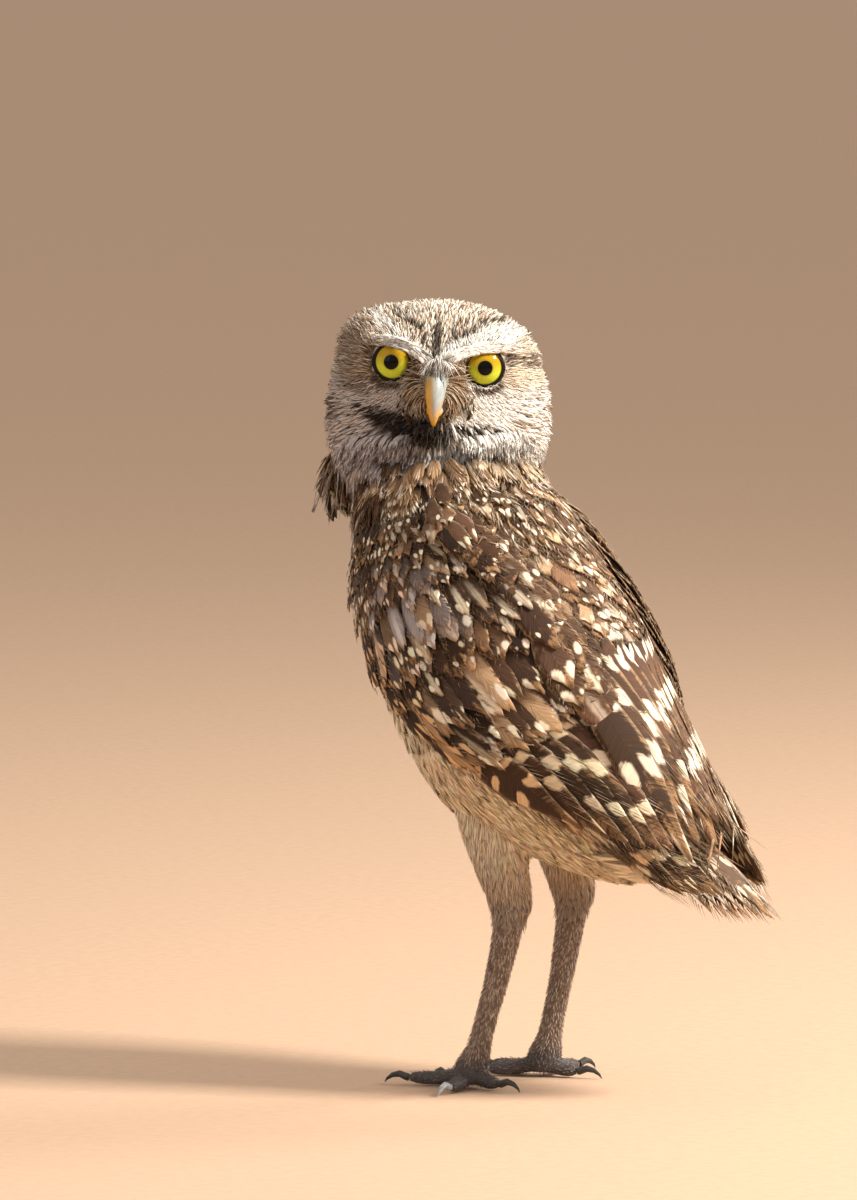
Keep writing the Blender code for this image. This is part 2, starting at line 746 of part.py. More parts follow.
# Toes: heading from straight ahead, towards the owl's outer side, then the length to the claw
TOES = {"middle": (8.0, 21.0), "inner": (-30.0, 17.5), "outer": (98.0, 16.0), "hind": (172.0, 11.0)}
TOE_HALVES = (2.1, 2.3, 2.5, 2.4, 1.7)
TOE_HEIGHTS = ((0.0, 3.6), (0.3, 3.1), (0.55, 2.5), (0.8, 2.3), (1.0, 2.2))
CLAW_HALF = 1.2

# Stations of a claw: reach, rise above its root's middle, and thickness as a share of its half width
CLAW = (
    (0.0, 0.0, 1.0),
    (0.5, 0.05, 1.0),
    (3.0, 0.9, 0.9),
    (5.4, 0.4, 0.65),
    (7.2, -0.8, 0.36),
    (8.0, -1.9, 0.1),
)


def heading(side, degrees):
    turn = math.radians(degrees)
    return np.array([side * math.sin(turn), -math.cos(turn), 0.0])


def flat_tube(name, path, halves, finish, around=10, grow=0.0, floor=None):
    """A tube along a path in an upright plane, flattened where it would pass the floor."""
    rings = []
    for i, here in enumerate(path):
        ahead = unit(path[min(i + 1, len(path) - 1)] - path[max(i - 1, 0)])
        across = unit(np.cross(ahead, [0.0, 0.0, 1.0]))
        over = np.cross(across, ahead)
        ring = []
        for t in np.linspace(0, 2 * math.pi, around, endpoint=False):
            p = here + (across * math.sin(t) + over * math.cos(t)) * (halves[i] + grow)
            if floor is not None:
                p[2] = max(p[2], floor)
            ring.append(p)
        rings.append(ring)
    return loft(name, rings, finish)


def toe_path(hub, ahead, length):
    """The middle line of a toe from inside the ankle, kept just over its sole."""
    return [hub * [1, 1, 0] + ahead * length * share + np.array([0, 0, z]) for share, z in TOE_HEIGHTS]


def build_foot(side, word):
    """Four toes, each cut clear of the shank and of the toes before it, with their claws."""
    hub = np.array([side * LEG_SPREAD, FOOT_BACK[word], HUB_HEIGHT])
    before = []
    for toe, (degrees, length) in TOES.items():
        ahead = heading(side, degrees)
        path = toe_path(hub, ahead, length)
        digit = flat_tube(f"toe_{toe}_{word}", path, TOE_HALVES, "leg_feather", floor=0.0)
        spaces = [loft("shank_space", tube_rings(shank_stations(side, word), 16, GAP), "leg_feather")]
        spaces += [flat_tube("toe_space", other, TOE_HALVES, "leg_feather", grow=GAP)
                   for other in before]
        combine(digit, spaces, "DIFFERENCE")
        soften(digit)
        before.append(path)
        root = path[-1] + ahead * GAP
        claw = [root + ahead * reach + [0, 0, rise] for reach, rise, _ in CLAW]
        sizes = [CLAW_HALF * share for _, _, share in CLAW]
        soften(flat_tube(f"claw_{toe}_{word}", claw, sizes, "claw_horn", 8, floor=0.0))


# The whole owl
def clear_scene():
    for old in list(bpy.data.objects):
        bpy.data.objects.remove(old)


def gather():
    group = bpy.data.collections.new("burrowing_owl")
    bpy.context.scene.collection.children.link(group)
    for made in list(bpy.context.scene.collection.objects):
        bpy.context.scene.collection.objects.unlink(made)
        group.objects.link(made)


def main():
    clear_scene()
    build_torso()
    build_head()
    build_bill()
    build_neck()
    build_tail()
    for side, word in ((1, "left"), (-1, "right")):
        build_wing(side, word)
        build_leg(side, word)
        build_foot(side, word)
    gather()


main()
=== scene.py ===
"""The looks of a standing burrowing owl: one skin, and every feather as solid mesh over it.

Sizes are in millimetres about a working point on the floor between the ankles, and are
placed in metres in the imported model's frame by placed().
"""

import itertools
import math

import bmesh
import bpy
import numpy as np
from mathutils import Matrix, Vector
from mathutils.bvhtree import BVHTree


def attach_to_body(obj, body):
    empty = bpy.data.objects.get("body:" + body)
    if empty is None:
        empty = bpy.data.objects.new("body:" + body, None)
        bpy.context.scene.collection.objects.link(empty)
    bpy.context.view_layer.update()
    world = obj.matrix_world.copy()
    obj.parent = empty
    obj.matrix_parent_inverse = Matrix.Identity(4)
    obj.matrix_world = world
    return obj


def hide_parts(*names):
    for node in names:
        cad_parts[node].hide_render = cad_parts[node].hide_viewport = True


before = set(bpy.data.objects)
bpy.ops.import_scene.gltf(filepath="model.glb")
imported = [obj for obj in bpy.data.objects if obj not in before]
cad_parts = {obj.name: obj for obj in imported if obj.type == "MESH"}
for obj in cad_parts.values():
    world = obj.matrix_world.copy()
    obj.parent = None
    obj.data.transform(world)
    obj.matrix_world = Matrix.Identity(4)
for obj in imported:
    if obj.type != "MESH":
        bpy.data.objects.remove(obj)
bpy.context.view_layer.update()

MM = 0.001
ORIGIN = np.array([0.0, 13.95, 0.0])
SEED = 20240

# The camera, fitted to the photograph's frame of 857 x 1200
VIEW_AZIMUTH = 123.0
VIEW_ELEVATION = 4.6
VIEW_DISTANCE = 3000.0
MM_PER_PIXEL = 0.306
FRAME_SIZE = (857, 1200)
WORKING_POINT_PIXEL = (520.0, 1083.0)

# The head's own frame: face towards -Y, the owl's left towards +X
HEAD_CENTRE = np.array([0.0, -29.0, 213.5])
HEAD_TURN = 120.0
HEAD_ROLL = 3.5
HEAD_PITCH = 2.0
EYE_RADIUS = 7.1
EYE_SPREAD = 13.5
EYE_HEIGHT = 7.6
EYE_DEPTH = -15.3
EYE_TURN = 7.0
LID_RADIUS = 5.75
PUPIL_RADIUS = 2.25
IRIS_RADIUS = 5.35

LEG_SPREAD = 18.0
FOOT_BACK = {"left": -6.0, "right": -2.5}

TAIL_ROOT = np.array([0.0, 46.0, 93.0])
TAIL_DROP = 38.0
TAIL_PAIRS = 6
TAIL_LENGTH = 58.0
TAIL_WIDTH = 11.5
TAIL_PITCH = 2.5
TAIL_STACK = 0.88
TAIL_CORE = (
    (-6.0, 13.0, 6.5, 3.0),
    (4.0, 13.5, 6.5, 3.5),
    (12.0, 12.5, 5.6, 4.0),
    (20.0, 10.5, 4.2, 4.2),
    (26.0, 7.5, 2.6, 4.2),
)

# Torso rings, neck to rump: centre y, centre z, lean, half width, depth to the breast, depth to the back
TORSO = np.array([
    [-25.0, 178.5, 12.0, 32.0, 30.5, 29.0],
    [-19.0, 167.0, 19.0, 36.0, 36.0, 30.5],
    [-11.5, 151.5, 24.0, 38.5, 42.0, 33.0],
    [-3.5, 136.5, 27.0, 39.5, 44.0, 35.5],
    [3.5, 121.5, 31.0, 39.5, 43.0, 37.5],
    [11.0, 107.0, 36.0, 38.0, 38.5, 38.0],
    [19.5, 94.0, 42.0, 33.5, 29.0, 35.5],
    [29.0, 83.0, 48.0, 27.0, 19.5, 29.5],
    [38.0, 74.0, 53.0, 19.0, 11.5, 20.5],
    [44.5, 69.0, 56.0, 11.0, 6.5, 11.0],
])

# The plumage goes on one ring higher, up under the head
PLUMAGE = np.concatenate([[[-27.8, 192.0, 5.0, 29.2, 29.8, 28.2]], TORSO])

# The folded wing on the torso: ring, angle of its lower edge, middle and upper edge, stand-off
WING_ON_TORSO = np.array([
    [0.5, 122.0, 98.0, 74.0, 0.8],
    [1.7, 135.0, 96.0, 55.0, 2.3],
    [3.0, 127.0, 90.0, 47.0, 3.0],
    [4.2, 111.0, 82.0, 44.0, 3.0],
    [5.2, 99.0, 73.0, 40.0, 3.0],
    [6.1, 88.0, 66.0, 36.0, 3.2],
])
WING_PAST_TORSO = np.array([
    [[28.0, 51.0, 76.5], [28.5, 55.0, 84.0], [18.5, 60.0, 91.0]],
    [[21.5, 66.5, 65.0], [22.0, 68.5, 71.5], [15.0, 71.0, 77.5]],
    [[14.0, 80.5, 58.0], [14.5, 81.5, 61.0], [11.0, 82.5, 64.0]],
])
# Where the wing's flesh ends, as a row of the wing
CORE_END = 5.5

# Side of the cells the skin is made from, and points on a feather's middle line
VOXEL = 0.9
STATIONS = 6


def srgb(red, green, blue):
    """A colour given as it looks, 0 to 255, as linear light."""
    values = np.array([red, green, blue], float) / 255
    return np.where(values <= 0.04045, values / 12.92, ((values + 0.055) / 1.055) ** 2.4)


# Plumage colours
UMBER = srgb(74, 53, 39)
DARK_UMBER = srgb(38, 28, 22)
TAN = srgb(164, 132, 100)
CREAM = srgb(236, 220, 196)
WHITE = srgb(250, 246, 240)
BUFF = srgb(216, 186, 156)
# LILAC_GREY is pale grey with painted shade in it: the tone pale feathers have on the shaded side
LILAC_GREY = srgb(196, 184, 182)
GREY_BROWN = srgb(122, 100, 84)
PALE_BELLY = srgb(252, 230, 194)


# Curves and frames
def unit(v):
    return v / np.maximum(np.linalg.norm(v, axis=-1, keepdims=True), 1e-9)


def turned(axis, degrees):
    return np.array(Matrix.Rotation(math.radians(degrees), 3, axis))


def placed(points):
    return (np.asarray(points, float) - ORIGIN) * MM


def smooth(value, low, high):
    """0 below low, 1 above high, and smooth between; the other way round where high is lower."""
    t = np.clip((np.asarray(value, float) - low) / (high - low), 0, 1)
    return t * t * (3 - 2 * t)


def row_at(rows, at):
    """Rows joined by a smooth curve through each of them, read at fractional row numbers."""
    rows = np.asarray(rows, float)
    last = len(rows) - 1
    padded = np.concatenate([2 * rows[:1] - rows[1:2], rows, 2 * rows[-1:] - rows[-2:-1]])
    at = np.clip(np.asarray(at, float), 0.0, last)
    i = np.minimum(at.astype(int), last - 1)
    f = (at - i).reshape(at.shape + (1,) * (rows.ndim - 1))
    before, a, b, after = (padded[i + k] for k in range(4))
    slope_a = (b - before) / 2
    slope_b = (after - a) / 2
    return ((2 * f**3 - 3 * f**2 + 1) * a + (f**3 - 2 * f**2 + f) * slope_a
            + (3 * f**2 - 2 * f**3) * b + (f**3 - f**2) * slope_b)


def torso_point(ring, angle, lift=0.0):
    """Points on the torso: angle 0 is the back's middle, 90 the left side and 180 the breast."""
    row = row_at(PLUMAGE, np.asarray(ring, float) + 1)
    y, z, lean, half, breast, back = (row[..., k] for k in range(6))
    lean, turn = np.radians(lean), np.radians(angle)
    s, c = np.sin(turn), np.cos(turn)
    depth = (np.where(c > 0, back, breast) + lift) * c
    return np.stack([(half + lift) * s, y + np.cos(lean) * depth, z + np.sin(lean) * depth], -1)


def torso_paths(ring, angle, lengths, drift=0.0, lift=lambda ring, angle: 0.0, count=6):
    """Middle lines laid tailward on the torso's outer form, drifting by so many degrees a ring."""
    low, high = np.maximum(ring - 0.15, -1.0), ring + 0.15
    per_ring = np.linalg.norm(torso_point(high, angle) - torso_point(low, angle), axis=1) / (high - low)
    per_ring = np.maximum(per_ring, 9.0)
    lengths = np.minimum(lengths, (8.95 - ring) * per_ring)
    places, outs = [], []
    for step in np.linspace(0, 1, count):
        at = ring + step * lengths / per_ring
        turn = angle + drift * (at - ring)
        stand = lift(at, turn)
        along = torso_point(at + 0.05, turn, stand) - torso_point(at - 0.05, turn, stand)
        around = torso_point(at, turn + 1.0, stand) - torso_point(at, turn - 1.0, stand)
        places.append(torso_point(at, turn, stand))
        outs.append(unit(np.cross(along, around)))
    places, outs = np.stack(places, 1), np.stack(outs, 1)
    centre = np.stack([np.zeros(len(ring)), *row_at(PLUMAGE, ring + 1)[:, :2].T], 1)
    inward = ((places[:, 0] - centre) * outs[:, 0]).sum(1) < 0
    outs[inward] *= -1
    return places, outs


WING = np.array([
    *[[torso_point(ring, angle, lift) for angle in angles] for ring, *angles, lift in WING_ON_TORSO],
    *WING_PAST_TORSO,
])


def wing_place(run, spread):
    low, mid, top = np.moveaxis(row_at(WING, run), -2, 0)
    spread = np.asarray(spread, float)[..., None]
    return (low * (1 - spread) * (1 - 2 * spread) + mid * 4 * spread * (1 - spread)
            + top * spread * (2 * spread - 1))


def wing_frame(run, spread):
    """A point of the left wing's sheet and its outward direction."""
    here = wing_place(run, spread)
    along = wing_place(run + 0.1, spread) - wing_place(run - 0.1, spread)
    across = wing_place(run, spread + 0.05) - wing_place(run, spread - 0.05)
    return here, unit(np.cross(along, across))


HEAD_FRAME = turned("Z", HEAD_TURN) @ turned("Y", HEAD_ROLL) @ turned("X", HEAD_PITCH)


def in_head(points):
    return np.asarray(points, float) @ HEAD_FRAME.T + HEAD_CENTRE


def to_head(points):
    return (np.asarray(points, float) - HEAD_CENTRE) @ HEAD_FRAME


def eye_seat(side):
    """An eye's centre in the head's own frame."""
    return np.array([side * EYE_SPREAD, EYE_DEPTH, EYE_HEIGHT])


# The view and the stage
def view_axes():
    azimuth, elevation = math.radians(VIEW_AZIMUTH), math.radians(VIEW_ELEVATION)
    back = np.array([math.sin(azimuth) * math.cos(elevation), -math.cos(azimuth) * math.cos(elevation),
                     math.sin(elevation)])
    right = np.array([math.cos(azimuth), math.sin(azimuth), 0.0])
    return back, right, np.cross(back, right)


def set_camera():
    back, right, up = view_axes()
    wide, high = FRAME_SIZE
    shift_right = (wide / 2 - WORKING_POINT_PIXEL[0]) * MM_PER_PIXEL
    shift_up = (WORKING_POINT_PIXEL[1] - high / 2) * MM_PER_PIXEL
    aim = right * shift_right + up * shift_up
    data = bpy.data.cameras.new("camera")
    camera = bpy.data.objects.new("camera", data)
    bpy.context.scene.collection.objects.link(camera)
    data.lens = data.sensor_width * VIEW_DISTANCE / (high * MM_PER_PIXEL)
    data.clip_end = 200.0
    camera.location = placed(aim + back * VIEW_DISTANCE)
    camera.rotation_mode = "QUATERNION"
    camera.rotation_quaternion = Vector(-back).to_track_quat("-Z", "Y")
    bpy.context.scene.camera = camera
    return placed(aim)


def area_light(name, aim, direction, distance, size, watts, colour):
    data = bpy.data.lights.new(name, "AREA")
    data.size = size
    data.energy = watts
    data.color = colour
    light = bpy.data.objects.new(name, data)
    bpy.context.scene.collection.objects.link(light)
    light.location = aim + unit(direction) * distance
    light.rotation_mode = "QUATERNION"
    light.rotation_quaternion = Vector(-direction).to_track_quat("-Z", "Y")


def set_lights(aim):
    back, right, up = view_axes()
    area_light("key", aim, right * 1.15 + up * 0.95 + back * 0.5, 1.5, 0.34, 42.0, (1.0, 0.92, 0.82))
    area_light("fill", aim, -right * 0.9 + up * 0.35 + back * 0.9, 1.8, 1.2, 4.0, (0.86, 0.92, 1.0))
    area_light("rim", aim, right * 1.0 + up * 0.6 - back * 0.6, 1.6, 0.6, 14.0, (1.0, 0.95, 0.88))
    world = bpy.data.worlds.new("studio")
    world.use_nodes = True
    world.node_tree.nodes["Background"].inputs["Color"].default_value = (0.92, 0.83, 0.74, 1.0)
    world.node_tree.nodes["Background"].inputs["Strength"].default_value = 0.74
    bpy.context.scene.world = world
    bpy.context.scene.view_settings.view_transform = "Standard"


# Shader nodes
def add_node(tree, kind, inputs=(), **settings):
    node = tree.nodes.new(kind)
    for name, value in settings.items():
        setattr(node, name, value)
    for key, value in inputs:
        value = getattr(value, "socket", value)
        if isinstance(value, bpy.types.NodeSocket):
            tree.links.new(value, node.inputs[key])
        else:
            node.inputs[key].default_value = value
    return node


class Value:
    """A socket's value over the surface, which adds, multiplies and compares into math nodes."""

    def __init__(self, tree, socket):
        self.tree = tree
        self.socket = socket

    def maths(self, operation, *others, clamp=False):
        node = add_node(self.tree, "ShaderNodeMath", enumerate([self, *others]), operation=operation,
                        use_clamp=clamp)
        return Value(self.tree, node.outputs[0])

    def __add__(self, other):
        return self.maths("ADD", other)

    def __sub__(self, other):
        return self.maths("SUBTRACT", other)

    def __mul__(self, other):
        return self.maths("MULTIPLY", other)

    def __truediv__(self, other):
        return self.maths("DIVIDE", other)

    def __abs__(self):
        return self.maths("ABSOLUTE")

    def fract(self):
        return self.maths("FRACT")

    def root(self):
        return self.maths("SQRT")

    def above(self, limit):
        return self.maths("GREATER_THAN", limit)

    def ramp(self, low, high, start=0.0, end=1.0):
        """The value read from low to high as start to end, smoothly."""
        node = add_node(self.tree, "ShaderNodeMapRange",
                        [("Value", self), ("From Min", low), ("From Max", high), ("To Min", start),
                         ("To Max", end)],
                        interpolation_type="SMOOTHSTEP")
        return Value(self.tree, node.outputs["Result"])


def blend(tree, share, first, second, way="MIX"):
    first, second = ((*c, 1.0) if isinstance(c, np.ndarray) else c for c in (first, second))
    node = add_node(tree, "ShaderNodeMix", [(0, share), (6, first), (7, second)], data_type="RGBA",
                    blend_type=way)
    return Value(tree, node.outputs[2])


def noise(tree, vector, scale, detail=2.0, rough=0.5):
    node = add_node(tree, "ShaderNodeTexNoise", [("Vector", vector), ("Scale", scale), ("Detail", detail),
                                                 ("Roughness", rough)])
    return Value(tree, node.outputs["Fac"])


def vector_of(tree, x, y, z):
    return add_node(tree, "ShaderNodeCombineXYZ", [(0, x), (1, y), (2, z)]).outputs[0]


def separated(tree, vector):
    return [Value(tree, part) for part in add_node(tree, "ShaderNodeSeparateXYZ", [(0, vector)]).outputs]


def shaded(tree, colour, shade):
    return blend(tree, 1.0, colour, vector_of(tree, shade, shade, shade), "MULTIPLY")


def attribute(tree, name):
    return add_node(tree, "ShaderNodeAttribute", attribute_name=name).outputs


def surface_group(name, vectors, colours=(), numbers=()):
    """A node group with named inputs that puts out a surface's colour, height and roughness."""
    group = bpy.data.node_groups.new(name, "ShaderNodeTree")
    for labels, kind in ((vectors, "Vector"), (colours, "Color"), (numbers, "Float")):
        for label in labels:
            group.interface.new_socket(label, in_out="INPUT", socket_type=f"NodeSocket{kind}")
    for label, kind in (("Colour", "Color"), ("Height", "Float"), ("Roughness", "Float")):
        group.interface.new_socket(label, in_out="OUTPUT", socket_type=f"NodeSocket{kind}")
    given = group.nodes.new("NodeGroupInput").outputs
    return group, {label: Value(group, given[label]) for label in (*vectors, *colours, *numbers)}


def put_out(group, colour, height, roughness):
    add_node(group, "NodeGroupOutput", [("Colour", colour), ("Height", height), ("Roughness", roughness)])
    return group


def feather_pattern():
    """A vane's markings: barbs, paired round spots, bars, a pale frayed edge and a shaft streak."""
    group, given = surface_group("feather_pattern", ["Vane"], ["Ground", "Light", "Fringe"],
                                 ["Spots", "Bars", "Edge", "Streak", "Barb Fineness", "Slant", "Contrast"])
    across, along, seed = separated(group, given["Vane"])
    side = abs(across)
    far = seed * 41.0
    slant = along - side * given["Slant"]
    barbs = noise(group, vector_of(group, slant * given["Barb Fineness"], across * 0.8, far), 1.0, 3.0, 0.65)
    warp = noise(group, vector_of(group, across * 1.6, along * 5.0, far), 1.3, 2.0)
    mixed = (warp - 0.5) * 0.9 + (barbs - 0.5) * 0.55
    luck = (seed * 7.31).fract()
    one_side = (across * (luck - 0.5)).above(0.0) * (seed * 19.7).fract().above(0.45)
    x = (side - 0.45) / 0.40
    y = (along + (luck - 0.5) * 0.16 - 0.76) / 0.13
    reach = (x * x + y * y).root() + mixed + one_side * 0.55
    spot = (reach / (given["Spots"] + 0.0001)).ramp(1.2, 0.72) * given["Spots"].above(0.02)
    place = slant * (given["Bars"] * 10.0) + mixed * 0.28 + luck * 0.45
    turn = abs(place.fract() - 0.5) + side.ramp(0.45, 0.15) * 0.08
    bar = turn.ramp(0.21, 0.13) * side.ramp(0.14, 0.32) * side.ramp(0.98, 0.86) * given["Bars"].above(0.02)
    edge = (side.maths("MAXIMUM", along) + mixed).ramp(0.78, 1.02) * given["Edge"]
    streak = (side + mixed * 0.5).ramp(0.42, 0.10) * along.ramp(0.25, 0.6) * given["Streak"]
    shaft = side.ramp(0.07, 0.02)
    light = spot.maths("ADD", bar, clamp=True).maths("MAXIMUM", streak, clamp=True)
    shade = barbs.ramp(0.25, 0.75, 0.55, 1.45) * along.ramp(0.0, 0.5, 0.72, 1.0)
    shade = (shade - 1.0) * given["Contrast"] + 1.0
    ground = shaded(group, given["Ground"], shade)
    soft = shaded(group, blend(group, 0.62, given["Ground"], given["Fringe"]), shade)
    bright = shaded(group, given["Light"], barbs.ramp(0.2, 0.8, 0.80, 1.08))
    colour = blend(group, light, blend(group, edge, ground, soft), bright)
    colour = blend(group, shaft * 0.35, colour, ground)
    return put_out(group, colour, barbs + shaft * 0.5, barbs.ramp(0.2, 0.8, 0.62, 0.85))


def skin_grain():
    """Pores and wrinkles of bare skin, and the small scales of the feet."""
    group, given = surface_group("skin_grain", ["Place"], ["Ground"], ["Scale"])
    scales = add_node(group, "ShaderNodeTexVoronoi", [("Vector", given["Place"]), ("Scale", given["Scale"])],
                      feature="DISTANCE_TO_EDGE")
    edges = Value(group, scales.outputs["Distance"]).ramp(0.0, 0.12)
    mottle = noise(group, given["Place"], 900.0, 4.0, 0.6)
    shade = mottle.ramp(0.2, 0.8, 0.6, 1.35) * edges.ramp(0.0, 1.0, 0.6, 1.0)
    return put_out(group, shaded(group, given["Ground"], shade), edges + mottle * 0.4,
                   mottle.ramp(0.2, 0.8, 0.5, 0.8))


def iris_group():
    """A yellow iris with fine fibres, darker towards its rim, round a black pupil."""
    group, given = surface_group("iris", ["Gaze"])
    x, z, _ = separated(group, given["Gaze"])
    reach = (x * x + z * z).root()
    fibres = noise(group, vector_of(group, z.maths("ARCTAN2", x) * 9.0, reach * 0.5, 0.0), 2.2, 3.0, 0.6)
    # Over the iris's own yellow: the darker amber at the top is painted shade from the brow, and the lemon
    # lower half is a painted reflection of the bright ground
    colour = blend(group, z.ramp(-2.6, 2.4), srgb(196, 208, 58), srgb(176, 144, 28))
    colour = shaded(group, colour, fibres.ramp(0.25, 0.75, 0.82, 1.12))
    inner = reach.ramp(PUPIL_RADIUS + 0.9, PUPIL_RADIUS + 0.1) * 0.35
    colour = blend(group, inner, colour, srgb(120, 100, 20))
    colour = blend(group, reach.ramp(IRIS_RADIUS - 0.7, IRIS_RADIUS), colour, np.array([0.012, 0.010, 0.008]))
    pupil = reach.ramp(PUPIL_RADIUS + 0.12, PUPIL_RADIUS - 0.05)
    colour = blend(group, pupil, colour, np.full(3, 0.002))
    return put_out(group, colour, fibres, fibres.ramp(0.0, 1.0, 0.22, 0.3))


def bill_group():
    """Grey horn, golden at the tip, with the nostrils' dark holes; the golden along the owl's right side, the
    shaded side, is painted shade.
    """
    group, given = surface_group("bill_horn", ["Beak"])
    along, ridge, side = separated(group, given["Beak"])
    grain = noise(group, vector_of(group, along * 3.0, ridge, side), 6.0, 4.0, 0.6)
    colour = blend(group, along.ramp(0.1, 0.35), srgb(138, 142, 122), srgb(160, 170, 172))
    # Painted shade: a golden tint along the owl's right side only, the side away from the light
    colour = blend(group, side.ramp(0.15, -0.55) * along.ramp(0.2, 0.42), colour, srgb(206, 156, 62))
    colour = blend(group, (along - ridge * 0.18).ramp(0.38, 0.68), colour, srgb(222, 166, 66))
    holes = (abs(abs(side) - 0.82) + abs(along - 0.21) * 4.0).ramp(0.3, 0.16) * ridge.ramp(0.0, 0.3)
    colour = blend(group, holes, colour, srgb(26, 22, 20))
    colour = shaded(group, colour, grain.ramp(0.2, 0.8, 0.82, 1.1))
    return put_out(group, colour, grain, grain.ramp(0.2, 0.8, 0.28, 0.42))


def finished(name, group, inputs, bump, distance, **sockets):
    """A material whose colour, roughness and bump come from a node group."""
    made = bpy.data.materials.new(name)
    made.use_nodes = True
    tree = made.node_tree
    shader = tree.nodes["Principled BSDF"]
    shell = add_node(tree, "ShaderNodeGroup", inputs(tree), node_tree=group).outputs
    raised = add_node(tree, "ShaderNodeBump", [("Height", shell["Height"]), ("Strength", bump),
                                               ("Distance", distance)])
    for key, socket in (("Base Color", shell["Colour"]), ("Roughness", shell["Roughness"]),
                        ("Normal", raised.outputs[0])):
        tree.links.new(socket, shader.inputs[key])
    for key, value in sockets.items():
        shader.inputs[key.replace("_", " ")].default_value = value
    return made


def feather_material(name, group, fineness, fringe, slant=0.3, contrast=1.0, bump=0.35, glow=0.3):
    def inputs(tree):
        labels = ("vane", "ground", "light", "marks")
        vane, ground, light, marks = (attribute(tree, label) for label in labels)
        spots, bars, edge = separated(tree, marks["Vector"])
        return [("Vane", vane["Vector"]), ("Ground", ground["Color"]), ("Light", light["Color"]),
                ("Spots", spots), ("Bars", bars), ("Edge", edge), ("Streak", marks["Alpha"]),
                ("Barb Fineness", fineness), ("Slant", slant), ("Contrast", contrast),
                ("Fringe", (*fringe, 1.0))]

    return finished(name, group, inputs, bump, 0.0003, Specular_IOR_Level=0.14, Sheen_Weight=0.03,
                    Subsurface_Weight=glow, Subsurface_Radius=(1.0, 0.85, 0.7), Subsurface_Scale=0.0015)


def object_place(tree):
    return add_node(tree, "ShaderNodeTexCoord").outputs["Object"]


def plain_finish(name, group, colour, scale, bump, distance, **sockets):
    def inputs(tree):
        return [("Place", object_place(tree)), ("Ground", (*colour, 1.0)), ("Scale", scale)]

    return finished(name, group, inputs, bump, distance, **sockets)


# Meshes
def mesh_from_arrays(name, points, loops, sizes):
    mesh = bpy.data.meshes.new(name)
    mesh.vertices.add(len(points))
    mesh.vertices.foreach_set("co", np.ascontiguousarray(points, np.float32).ravel())
    mesh.loops.add(len(loops))
    mesh.loops.foreach_set("vertex_index", np.ascontiguousarray(loops, np.int32))
    starts = np.concatenate([[0], np.cumsum(sizes)[:-1]])
    mesh.polygons.add(len(sizes))
    mesh.polygons.foreach_set("loop_start", np.ascontiguousarray(starts, np.int32))
    mesh.update(calc_edges=True)
    mesh.shade_smooth()
    return mesh


def linked(name, mesh):
    made = bpy.data.objects.new(name, mesh)
    bpy.context.scene.collection.objects.link(made)
    return made


def set_attribute(mesh, name, kind, values):
    layer = mesh.attributes.new(name, kind, "POINT")
    key = "color" if kind == "FLOAT_COLOR" else "vector"
    layer.data.foreach_set(key, np.ascontiguousarray(values, np.float32).ravel())


def corners_of(mesh):
    """A mesh's corners as they are stored."""
    points = np.empty(len(mesh.vertices) * 3, np.float32)
    mesh.vertices.foreach_get("co", points)
    return points.reshape(-1, 3)


def normals_of(mesh):
    normals = np.empty(len(mesh.vertices) * 3, np.float32)
    mesh.vertex_normals.foreach_get("vector", normals)
    return normals.reshape(-1, 3)


def set_corners(mesh, points):
    """Puts a mesh's corners at points given in millimetres."""
    mesh.vertices.foreach_set("co", placed(points).astype(np.float32).ravel())


def rings_mesh(name, rings, closed_ends=True):
    """A closed body through rings of equal counts, in millimetres.

    A fan closes each end, or else the last ring joins the first."""
    rings = np.asarray(rings, float)
    count, around = rings.shape[:2]
    points = np.concatenate([rings.reshape(-1, 3), [rings[0].mean(0), rings[-1].mean(0)]])
    last = (count - 1) * around
    beside = [(j, (j + 1) % around) for j in range(around)]
    faces = [(i * around + j, i * around + k, (i + 1) * around + k, (i + 1) * around + j)
             for i in range(count - 1) for j, k in beside]
    if closed_ends:
        for j, k in beside:
            faces += [(count * around, k, j), (count * around + 1, last + j, last + k)]
    else:
        points = points[:-2]
        faces += [(last + j, last + k, k, j) for j, k in beside]
    mesh = bpy.data.meshes.new(name)
    mesh.from_pydata([tuple(p) for p in placed(points)], [], faces)
    face_out(mesh)
    mesh.shade_smooth()
    return linked(name, mesh)


def face_out(mesh):
    shape = bmesh.new()
    shape.from_mesh(mesh)
    bmesh.ops.recalc_face_normals(shape, faces=shape.faces)
    shape.to_mesh(mesh)
    shape.free()


def select_only(*objects):
    bpy.ops.object.select_all(action="DESELECT")
    for made in objects:
        made.select_set(True)
    bpy.context.view_layer.objects.active = objects[0]


def shape_by(made, name, kind, **settings):
    """Adds a modifier to the selected object and applies it."""
    step = made.modifiers.new(name, kind)
    for key, value in settings.items():
        setattr(step, key, value)
    bpy.ops.object.modifier_apply(modifier=name)


# The skin
SIDES = ((1, "left"), (-1, "right"))
TOES = {"middle": (8.0, 21.0), "inner": (-30.0, 17.5), "outer": (98.0, 16.0), "hind": (172.0, 11.0)}
FLESH = ["torso", "neck", "head", "wing_left", "wing_right", "tail", "thigh_left", "thigh_right",
         "shank_left", "shank_right", *[f"toe_{toe}_{word}" for toe in TOES for _, word in SIDES]]
# How far the parts are grown to join across their gaps, before the skin is drawn in again
GROWTH = 0.45
LOWEST_SKIN = 0.02
LOWEST_FEATHER = 0.1


def wing_core(side):
    rings = []
    for run in np.linspace(0.0, CORE_END, 17):
        share = run / CORE_END
        sink = 0.6 + 2.6 * smooth(run, 2.6, 4.8)
        depth = sink + 7.6 - 6.2 * max(0.0, share - 0.55) / 0.45
        outer = [wing_frame(run, t) for t in np.linspace(0.0, 1.0, 11)]
        ring = [p - out * sink for p, out in outer]
        ring += [p - out * depth for p, out in reversed(outer[1:-1])]
        rings.append([[side * x, y, z] for x, y, z in ring])
    return rings_mesh("wing_core", rings)


